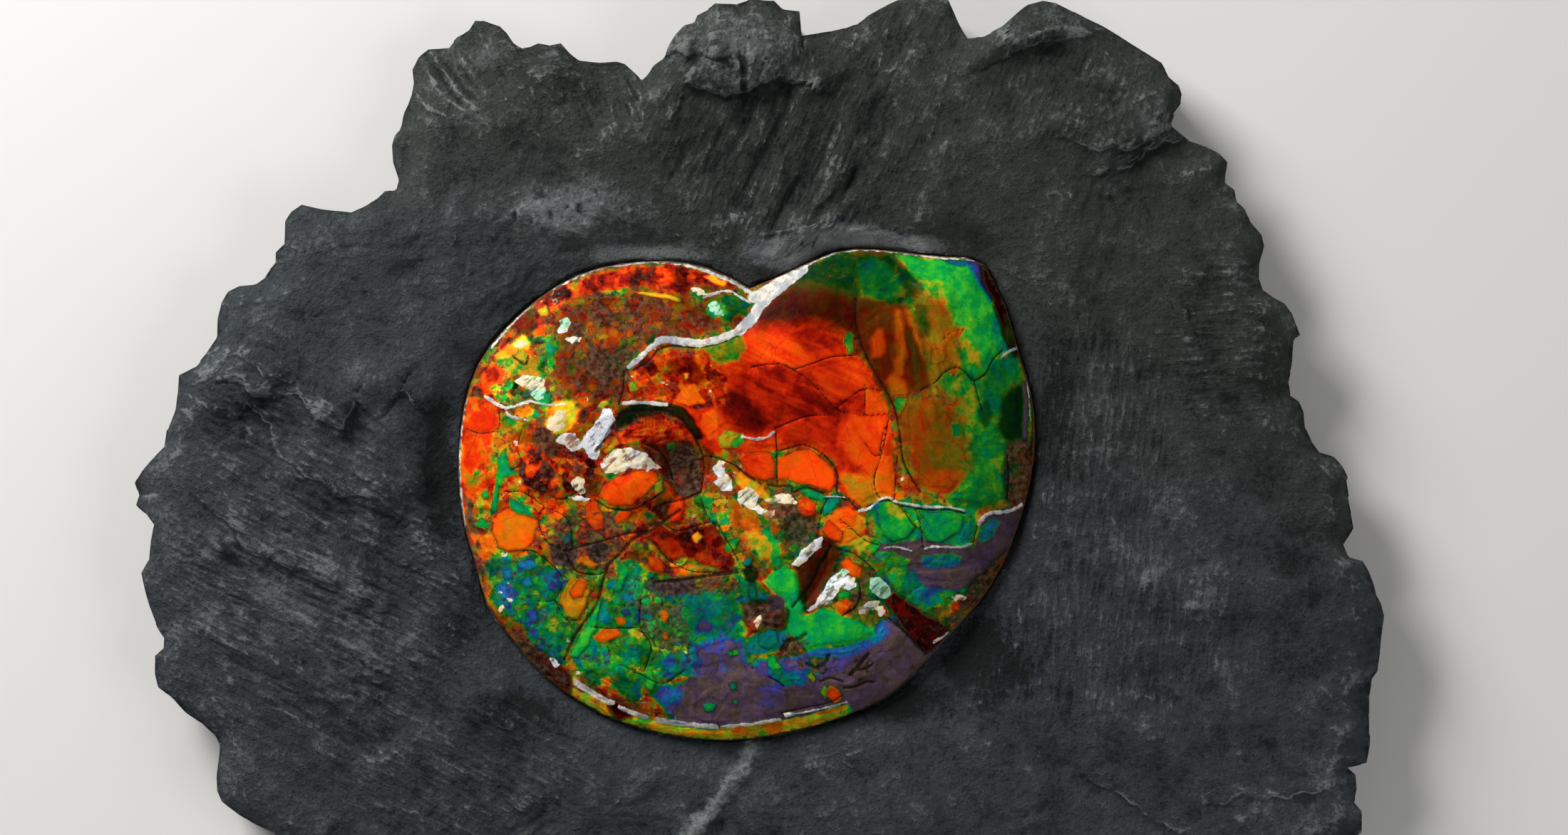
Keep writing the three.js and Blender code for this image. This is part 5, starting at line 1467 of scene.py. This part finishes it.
class Finish:
    """A material in the making. Sizes and depths are in mm."""

    def __init__(self, name):
        self.material = bpy.data.materials.new(name)
        self.material.use_nodes = True
        self.tree = self.material.node_tree
        self.shader = self.tree.nodes["Principled BSDF"]
        self.here = self.node("TexCoord", output="Object")

    def node(self, kind, settings=None, sockets=None, output=0):
        """Adds a node: its settings first, then the values or wires of its sockets."""
        node = self.tree.nodes.new("ShaderNode" + kind)
        for name, value in (settings or {}).items():
            if name == "stops":
                self.set_stops(node.color_ramp, value)
            else:
                setattr(node, name, value)
        for name, value in (sockets or {}).items():
            self.feed(node.inputs[name], value)
        return Wire(self, node.outputs[output])

    def feed(self, socket, value):
        if isinstance(value, Wire):
            self.tree.links.new(value.socket, socket)
        else:
            socket.default_value = value

    def set_stops(self, ramp, stops):
        ramp.interpolation = "EASE" if len(stops) == 2 else "LINEAR"
        for index, (position, colour) in enumerate(stops):
            stop = ramp.elements[index] if index < 2 else ramp.elements.new(position)
            stop.position = position
            stop.color = colour

    def sum(self, operation, first, second):
        """A Math node."""
        return self.node("Math", {"operation": operation}, {0: first, 1: second})

    def most(self, first, second):
        return self.sum("MAXIMUM", first, second)

    def unsigned(self, value):
        """A number without its sign."""
        return self.sum("ABSOLUTE", value, 0)

    def step(self, value, low, high):
        """0 at low and 1 at high, eased between. Low may be the larger."""
        settings = {"interpolation_type": "SMOOTHSTEP"}
        return self.node("MapRange", settings, {"Value": value, "From Min": low, "From Max": high})

    def kept(self, name):
        """A number kept on the mesh."""
        return self.node("Attribute", {"attribute_name": name}, output="Fac")

    def grain(self, size, detail=3.0, roughness=0.55, at=None):
        """Noise from 0 to 1 with lumps of the given size in mm."""
        sockets = {"Vector": at or self.here, "Scale": 1 / (size * MM), "Detail": detail}
        sockets["Roughness"] = roughness
        return self.node("TexNoise", None, sockets)

    def shards(self, size, at, output="Color", feature="F1"):
        sockets = {"Vector": at, "Scale": 1 / (size * MM)}
        return self.node("TexVoronoi", {"feature": feature}, sockets, output)

    def mix(self, share, first, second, way="MIX"):
        """Mixes two colours."""
        settings = {"data_type": "RGBA", "blend_type": way, "clamp_factor": True}
        return self.node("Mix", settings, {0: share, 6: first, 7: second}, 2)

    def dim(self, colour, amount):
        """A colour made brighter or darker by a number."""
        return self.node("VectorMath", {"operation": "SCALE"}, {0: colour, "Scale": amount})

    def shifted(self, amount, size, at=None):
        """A place pushed about by noise: both in mm."""
        at = at or self.here
        push = self.node("TexNoise", None, {"Vector": at, "Scale": 1 / (size * MM)}, "Color")
        centred = self.node("VectorMath", {"operation": "SUBTRACT"}, {0: push, 1: (0.5, 0.5, 0.5)})
        scaled = self.node("VectorMath", {"operation": "SCALE"}, {0: centred, "Scale": amount * MM})
        return self.node("VectorMath", {"operation": "ADD"}, {0: at, 1: scaled})

    def stretched(self, ratio, degrees):
        """Places drawn out along one way across the piece."""
        sockets = {"Vector": self.here, "Rotation": (0, 0, math.radians(degrees)), "Scale": (ratio, 1, 1)}
        return self.node("Mapping", {"vector_type": "TEXTURE"}, sockets)

    def layered(self, ratio):
        """Places drawn out along the flat layers of a wall."""
        return self.node("Mapping", {"vector_type": "TEXTURE"}, {0: self.here, "Scale": (ratio, ratio, 1)})

    def part(self, colour, name):
        """One channel of a colour."""
        return self.node("SeparateColor", None, {0: colour}, name)

    def bump(self, height, depth, strength=1.0, under=None):
        """Relief too fine for the mesh: height from 0 to 1, depth in mm."""
        sockets = {"Height": height, "Distance": depth * MM, "Strength": strength}
        if under:
            sockets["Normal"] = under
        return self.node("Bump", None, sockets)

    def into(self, **sockets):
        """Feeds the shader. A socket's name is given in small letters."""
        for name, value in sockets.items():
            self.feed(self.shader.inputs[name.replace("_", " ").title().replace("Ior", "IOR")], value)

    def on(self, piece):
        piece.data.materials.append(self.material)


def tone(code):
    """A colour from its usual six-digit code."""
    channels = [int(code[k:k + 2], 16) / 255 for k in (0, 2, 4)]
    return (*[c / 12.92 if c < 0.04045 else ((c + 0.055) / 1.055) ** 2.4 for c in channels], 1)


# bare is the pale tone of worn crests and of the painted highlights on crests, lips and the ridge above the
# fossil's aperture; dark is also the painted shade
SHALE = {
    "dark": tone("171a1a"), "light": tone("646969"), "bare": tone("8c918e"), "green": tone("333832"),
    "blue": tone("383d41"), "vein": tone("8b908d"),
}
# The shale's noises: size of a lump in mm, detail and roughness. Then how much each lightens the rock
SHALE_GRAINS = {
    "broad": (90,), "middling": (16, 6, 0.6), "fine": (3.2, 5, 0.66), "grit": (1.4, 4, 0.66),
    "lip gaps": (11, 4), "vein": (6, 6, 0.65),
}
SHALE_WEIGHTS = {"middling": 1.5, "fine": 1.2, "grit": 0.9, "flow": 1.8}
FLOW_GRAIN = (2.3, 5, 0.62)
FLOW_RATIO = 6
LAYER_GRAIN = (1.6, 5, 0.62)
LAYER_RATIO = 9
PLAY = [
    (0.00, tone("51433f")), (0.06, tone("5a4a5e")), (0.12, tone("503f80")), (0.18, tone("2a4ca4")),
    (0.26, tone("0c7690")), (0.34, tone("068a64")), (0.42, tone("0c9a34")), (0.49, tone("3ea420")),
    (0.56, tone("a8a41c")), (0.63, tone("d08612")), (0.70, tone("e66c0a")), (0.77, tone("ee4c06")),
    (0.84, tone("d42a06")), (0.92, tone("8c0e04")), (1.00, tone("440a04")),
]
NACRE = {
    "white": tone("e6eaf0"), "cream": tone("ead9b0"), "mint": tone("a6dcb8"), "grey": tone("8c8a86"),
    "pale_seam_and_highlight": tone("dcd5c8"), "slate": tone("9fa5a9"), "rock": tone("5c4836"), "dark rock": tone("1e1612"),
    "crack": tone("1a110c"), "rim": tone("6a4c36"), "mauve": tone("66524f"), "plum": tone("604a62"),
}
# The nacre's noises, as for the shale
NACRE_GRAINS = {
    "cloud": (9, 4, 0.55), "fleck": (3.0, 3, 0.55), "speck": (1.3, 2), "rock": (2.4, 4, 0.6),
    "border gaps": (4, 3), "dirt": (4.5, 6, 0.62), "bare": (6, 3, 0.55), "tint": (6, 4),
    "thread": (5, 4, 0.6), "tooth": (1.5, 6, 0.7),
}
WISP_GRAIN = (2.4, 3, 0.5)
WISP_RATIO = 2.5
WISP_DEGREES = 40
CHIP_SIZE = 2.0
HAIRLINE_SIZE = 19
# Share of chips painted cream as glints, a painted highlight
PAINTED_GLINT_SHARE = (0.975, 0.985)


class Shale(Finish):
    """Dark split shale, streaked by its flow: pale on its crests, partly worn and partly a painted highlight,
    with a painted highlight along its lips, and darker in its cuts and under its lips as painted shade.
    """

    def __init__(self):
        super().__init__("split_shale")
        self.grains = {name: self.grain(*shape) for name, shape in SHALE_GRAINS.items()}
        self.wall = self.kept("wall")
        self.grains["flow"] = self.flow()
        self.worn, self.lip = self.kept("worn"), self.kept("lip") + swing(self.grains["fine"], 2.0)
        colour = self.veined(self.with_painted_shade(self.with_wear_and_painted_highlight(self.ground())))
        self.into(base_color=colour, normal=self.fine_relief())
        self.into(roughness=0.82 + swing(self.grains["fine"], 0.25), specular_ior_level=0.2)

    def flow(self):
        """Streaks along the rock's flow on top, and flat layers in the walls."""
        flow = 0.5
        for name, degrees, _ in FLOWS:
            lines = self.grain(*FLOW_GRAIN, self.stretched(FLOW_RATIO, degrees))
            flow = swing(lines, self.kept(name)) + flow
        layers = self.grain(*LAYER_GRAIN, self.layered(LAYER_RATIO))
        return flow * (1 - self.wall) + self.wall * (swing(layers, 1.6) + 0.5)

    def ground(self):
        """Blue-grey rock, greenish towards the top, lighter and darker by its grains, by the shade mark with
        its painted shadow and highlight, and by painted shade in low places.
        """
        across, up = (self.node("SeparateXYZ", None, {0: self.here}, axis) for axis in "XY")
        greenish = self.step(up + across * 0.35 + self.grains["broad"] * 0.12 - 0.06, 0.00, 0.16)
        colour = self.mix(greenish, SHALE["blue"], SHALE["green"])
        level = 0.5
        for name, weight in SHALE_WEIGHTS.items():
            level = level + swing(self.grains[name], weight)
        # Painted light and shade: the shade mark, and the lift, which darkens low places and lightens high
        # ones
        level = level + self.kept("shade") * 0.6 + self.kept("lift") * 0.15
        colour = self.mix(self.step(level, 0.50, -0.10), colour, SHALE["dark"])
        colour = self.mix(self.step(level, 0.50, 1.20), colour, SHALE["light"])
        return self.mix(self.step(level, 1.20, 2.20) * 0.8, colour, SHALE["bare"])

    # Pale crests, partly wear and partly a painted highlight, and pale threads along the ledges' lips, which
    # are a painted highlight
    def with_wear_and_painted_highlight(self, colour):
        fine, grit, flow = self.grains["fine"], self.grains["grit"], self.grains["flow"]
        thread = self.step(self.unsigned(self.lip - 0.25), 0.7, 0.1)
        thread = thread * self.step(self.grains["lip gaps"], 0.42, 0.58)
        edges = self.step(self.worn + swing(fine, 2.0) + swing(flow, 3.0) + swing(grit, 1.2), 0.6, 1.4)
        return self.mix(self.most(edges, thread) * (0.5 - self.wall * 0.4), colour, SHALE["bare"])

    # Painted shade: darker in hollows and cuts, and a painted shadow under each ledge's lip
    def with_painted_shade(self, colour):
        painted_shadow_under_lip = self.step(self.lip, -2.4, -0.6) * self.step(self.lip, 0.1, -0.5)
        cuts = self.step(self.worn + swing(self.grains["fine"], 0.8), -0.25, -1.1)
        return self.mix(self.most(cuts, painted_shadow_under_lip * 0.7) * 0.7, colour, SHALE["dark"])

    def veined(self, colour):
        vein = self.step(self.kept("vein") + swing(self.grains["vein"], 14), -0.8, 2.2)
        ore = self.mix(self.step(self.grains["fine"], 0.4, 0.6), SHALE["light"], SHALE["vein"])
        return self.mix(vein * 0.75, colour, ore)

    def fine_relief(self):
        rough = self.bump(self.grains["flow"], 4.5, 0.85, self.bump(self.grains["grit"], 1.8, 0.85))
        rough = self.bump(self.grains["fine"], 3.2, 0.85, rough)
        return self.bump(self.grains["middling"], 5.0, 0.6, rough)


class Nacre(Finish):
    """Iridescent nacre, cracked into chips, with bare rock, pearl and pale seams in it, and with painted
    highlights and painted shade in places.
    """

    def __init__(self):
        super().__init__("fiery_nacre")
        self.bent = self.shifted(0.7, 1.3, self.shifted(1.6, 4))
        self.grains = {name: self.grain(*shape) for name, shape in NACRE_GRAINS.items()}
        self.wisps = self.grain(*WISP_GRAIN, self.stretched(WISP_RATIO, WISP_DEGREES))
        self.chips = self.shards(CHIP_SIZE, self.bent)
        self.glow, self.shatter = self.kept("glow"), self.kept("shatter")
        self.crack = self.step(self.kept("crack") + swing(self.grains["speck"], 1.0), -0.15, 0.25)
        self.edge = self.step(self.kept("from_rim") + swing(self.grains["fleck"], 3.0), 1.1, 0.4)
        self.bare, self.joint = self.bare_share(), self.joint_share()
        colour = self.with_rock(self.with_painted_glints(self.lit(self.play())))
        self.finish_with(self.with_edge(self.with_seams_and_painted_highlights(self.with_shards(colour))))

    def fleck(self, amount):
        return swing(self.grains["fleck"], amount)

    def cloud(self, amount):
        return swing(self.grains["cloud"], amount)

    def play(self):
        """The play of colour, and mauve where it has gone."""
        stray = swing(self.part(self.chips, "Red"), 0.13) * self.shatter
        drift = self.cloud(0.30) + self.fleck(0.20)
        place_in_play = self.kept("fire") + stray + drift * (0.7 + self.shatter * 0.45)
        colour = self.node("ValToRGB", {"stops": PLAY}, {0: place_in_play})
        taupe = self.mix(self.step(self.grains["cloud"], 0.42, 0.58), NACRE["mauve"], NACRE["plum"])
        bloom = self.step(self.kept("mauve") + self.fleck(1.2) + self.cloud(0.8), 0.3, 0.75)
        return self.mix(bloom, colour, taupe)

    # Brightness from the glow mark, the plates and the grains; where areas of painted shade have lowered the
    # glow, this darkening is painted shade
    def lit(self, colour):
        uneven = swing(self.part(self.chips, "Green"), 0.5) * self.shatter
        grains = self.cloud(1.1) + self.fleck(0.7) + swing(self.grains["speck"], 0.4)
        return self.dim(colour, self.glow * (1 + grains + uneven))

    def with_painted_glints(self, colour):
        """Painted highlight: a few chips painted cream as glints of light thrown straight back."""
        painted_glint = self.step(self.part(self.chips, "Blue"), *PAINTED_GLINT_SHARE)
        painted_glint = painted_glint * self.step(self.shatter * self.glow, 0.45, 0.6)
        return self.mix(painted_glint * self.step(self.grains["fleck"], 0.46, 0.54), colour, NACRE["cream"])

    def bare_share(self):
        """Where the nacre is gone or dirty and rock shows."""
        bare = self.kept("bare")
        dirt = self.step(self.grains["dirt"] + self.shatter * 0.2, 0.70, 0.80)
        loose = self.step(bare + self.shatter * 0.3, 0.05, 0.3)
        bare = self.step(bare + swing(self.grains["bare"], 3.4) * loose, 0.35, 0.95)
        return self.most(bare, dirt * 0.8)

    def joint_share(self):
        """Rock in the joints between plates."""
        bare = self.kept("bare")
        joint = self.step(self.kept("joint") + self.fleck(1.4) - bare * 1.3, 0.34, 0.02)
        joint = joint * self.step(self.shatter, 0.25, 0.7)
        return joint * self.step(self.grains["cloud"] + bare * 0.2, 0.42, 0.55)

    def with_rock(self, colour):
        """Dark borders of the colour cells, hairlines, and the bare rock."""
        border = self.step(self.unsigned(self.kept("cell") + self.fleck(0.8)), 0.55, 0.05)
        border = border * self.step(self.grains["border gaps"], 0.38, 0.5)
        to_hairline = self.shards(HAIRLINE_SIZE, self.bent, "Distance", "DISTANCE_TO_EDGE")
        hairline = self.step(to_hairline, 0.013, 0.003)
        colour = self.mix(self.most(hairline * 0.35, border * 0.6), colour, NACRE["crack"])
        rock = self.mix(self.step(self.grains["rock"], 0.36, 0.66), NACRE["dark rock"], NACRE["rock"])
        return self.mix(self.most(self.bare * 0.9, self.joint * 0.85), colour, rock)

    def with_shards(self, colour):
        """Bare pearl: white to cream or mint, streaked with what lies under it."""
        tint = self.kept("tint") + swing(self.grains["tint"], 2.6)
        pearl = self.mix(self.step(tint, 0.1, 0.9), NACRE["white"], NACRE["cream"])
        pearl = self.mix(self.step(tint, 1.2, 1.8), pearl, NACRE["mint"])
        pearl = self.mix(self.step(self.wisps, 0.50, 0.40) * 0.35, pearl, NACRE["grey"])
        pearl = self.mix(self.step(self.wisps, 0.47, 0.38) * 0.75, pearl, colour)
        thread = self.step(self.unsigned(self.grains["thread"] - 0.5), 0.018, 0.006)
        pearl = self.mix(thread * 0.4, pearl, NACRE["rock"])
        shard = self.step(self.kept("pearl") + swing(self.wisps, 2.0) + self.fleck(2.0), -0.1, 0.35)
        return self.mix(shard * 0.95, colour, pearl)

    def with_seams_and_painted_highlights(self, colour):
        """Cracks, and the pale seams of chalk over them; on the whorl's lip and the shell's rims the pale
        colour is partly a painted highlight.
        """
        colour = self.mix(self.crack * 0.8, colour, NACRE["crack"])
        pale_seam_and_highlight = self.step(self.kept("pale_seam_and_highlight") + self.fleck(2.2), -0.15, 0.3)
        seam_and_highlight_tone = self.mix(self.step(self.grains["cloud"], 0.40, 0.58), NACRE["slate"], NACRE["pale_seam_and_highlight"])
        seam_and_highlight_tone = self.mix(self.step(self.grains["rock"], 0.50, 0.36) * 0.6, seam_and_highlight_tone, NACRE["grey"])
        seam_and_highlight_tone = self.mix(self.step(self.grains["speck"], 0.36, 0.28) * 0.7, seam_and_highlight_tone, NACRE["rock"])
        return self.mix(pale_seam_and_highlight * 0.94, colour, seam_and_highlight_tone)

    def with_edge(self, colour):
        rim = self.mix(self.grains["rock"], NACRE["crack"], NACRE["rim"])
        return self.mix(self.edge * 0.9, colour, rim)

    def finish_with(self, colour):
        """Glossy, but dull where rock, cracks or the edge show."""
        dull = self.most(self.most(self.bare, self.joint), self.most(self.crack, self.edge))
        tooth = self.bump(self.grains["tooth"], 0.2, 0.3)
        self.into(base_color=colour, normal=self.bump(self.grains["rock"], 0.6, 0.2, tooth))
        self.into(roughness=0.42 + dull * 0.4 + self.grains["speck"] * 0.12, specular_ior_level=0.02)


# Stage, in metres. The camera looks straight down from CAMERA_HEIGHT over the fossil's face, and its
# lens takes in the width of the view there
FLOOR_SIZE = 12
CAMERA_HEIGHT = 2.0
FOSSIL_LEVEL = 0.036
SENSOR_WIDTH = 36.0
# Where each light stands, its size and its power
LIGHTS = {"key": ((-1.35, 1.55, 1.05), 1.0, 86), "fill": ((1.9, -0.9, 1.5), 1.6, 20)}
ROOM_LIGHT = (0.9, 0.93, 1, 1)
ROOM_STRENGTH = 0.14
SMOOTH_BELOW_DEGREES = 48


def floor():
    bpy.ops.object.select_all(action="DESELECT")
    bpy.ops.mesh.primitive_plane_add(size=FLOOR_SIZE)
    piece = bpy.context.object
    piece.name = "floor"
    finish = Finish("pale_floor")
    finish.into(base_color=tone("dcdad6"), roughness=0.9)
    finish.on(piece)


def soft_light(name, place_at, size, power):
    data = bpy.data.lights.new(name, "AREA")
    data.size = size
    data.energy = power
    light = bpy.data.objects.new(name, data)
    light.location = place_at
    light.rotation_euler = (-light.location).to_track_quat("-Z", "Y").to_euler()
    bpy.context.scene.collection.objects.link(light)


def lighting():
    for name, (place_at, size, power) in LIGHTS.items():
        soft_light(name, place_at, size, power)
    world = bpy.data.worlds.new("pale_room")
    world.use_nodes = True
    world.node_tree.nodes["Background"].inputs["Color"].default_value = ROOM_LIGHT
    world.node_tree.nodes["Background"].inputs["Strength"].default_value = ROOM_STRENGTH
    bpy.context.scene.world = world
    bpy.context.scene.view_settings.view_transform = "Standard"


def camera():
    data = bpy.data.cameras.new("camera")
    data.sensor_width = SENSOR_WIDTH
    data.lens = SENSOR_WIDTH * CAMERA_HEIGHT / (VIEW_WIDTH_PIXELS * PIXEL * MM)
    view = bpy.data.objects.new("camera", data)
    (across, up), = place([VIEW_PIXEL])
    view.location = (across * MM, up * MM, FOSSIL_LEVEL + CAMERA_HEIGHT)
    bpy.context.scene.collection.objects.link(view)
    bpy.context.scene.camera = view


def present(piece, node, finish):
    finish.on(piece)
    select_only(piece)
    bpy.ops.object.shade_smooth_by_angle(angle=math.radians(SMOOTH_BELOW_DEGREES))
    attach(piece, "root")
    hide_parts(node)


camera()
lighting()
floor()
rim_line = fossil_rim()
present(shale_slab(rim_line), "shale_matrix", Shale())
present(ammonite_shell(rim_line), "ammonite", Nacre())
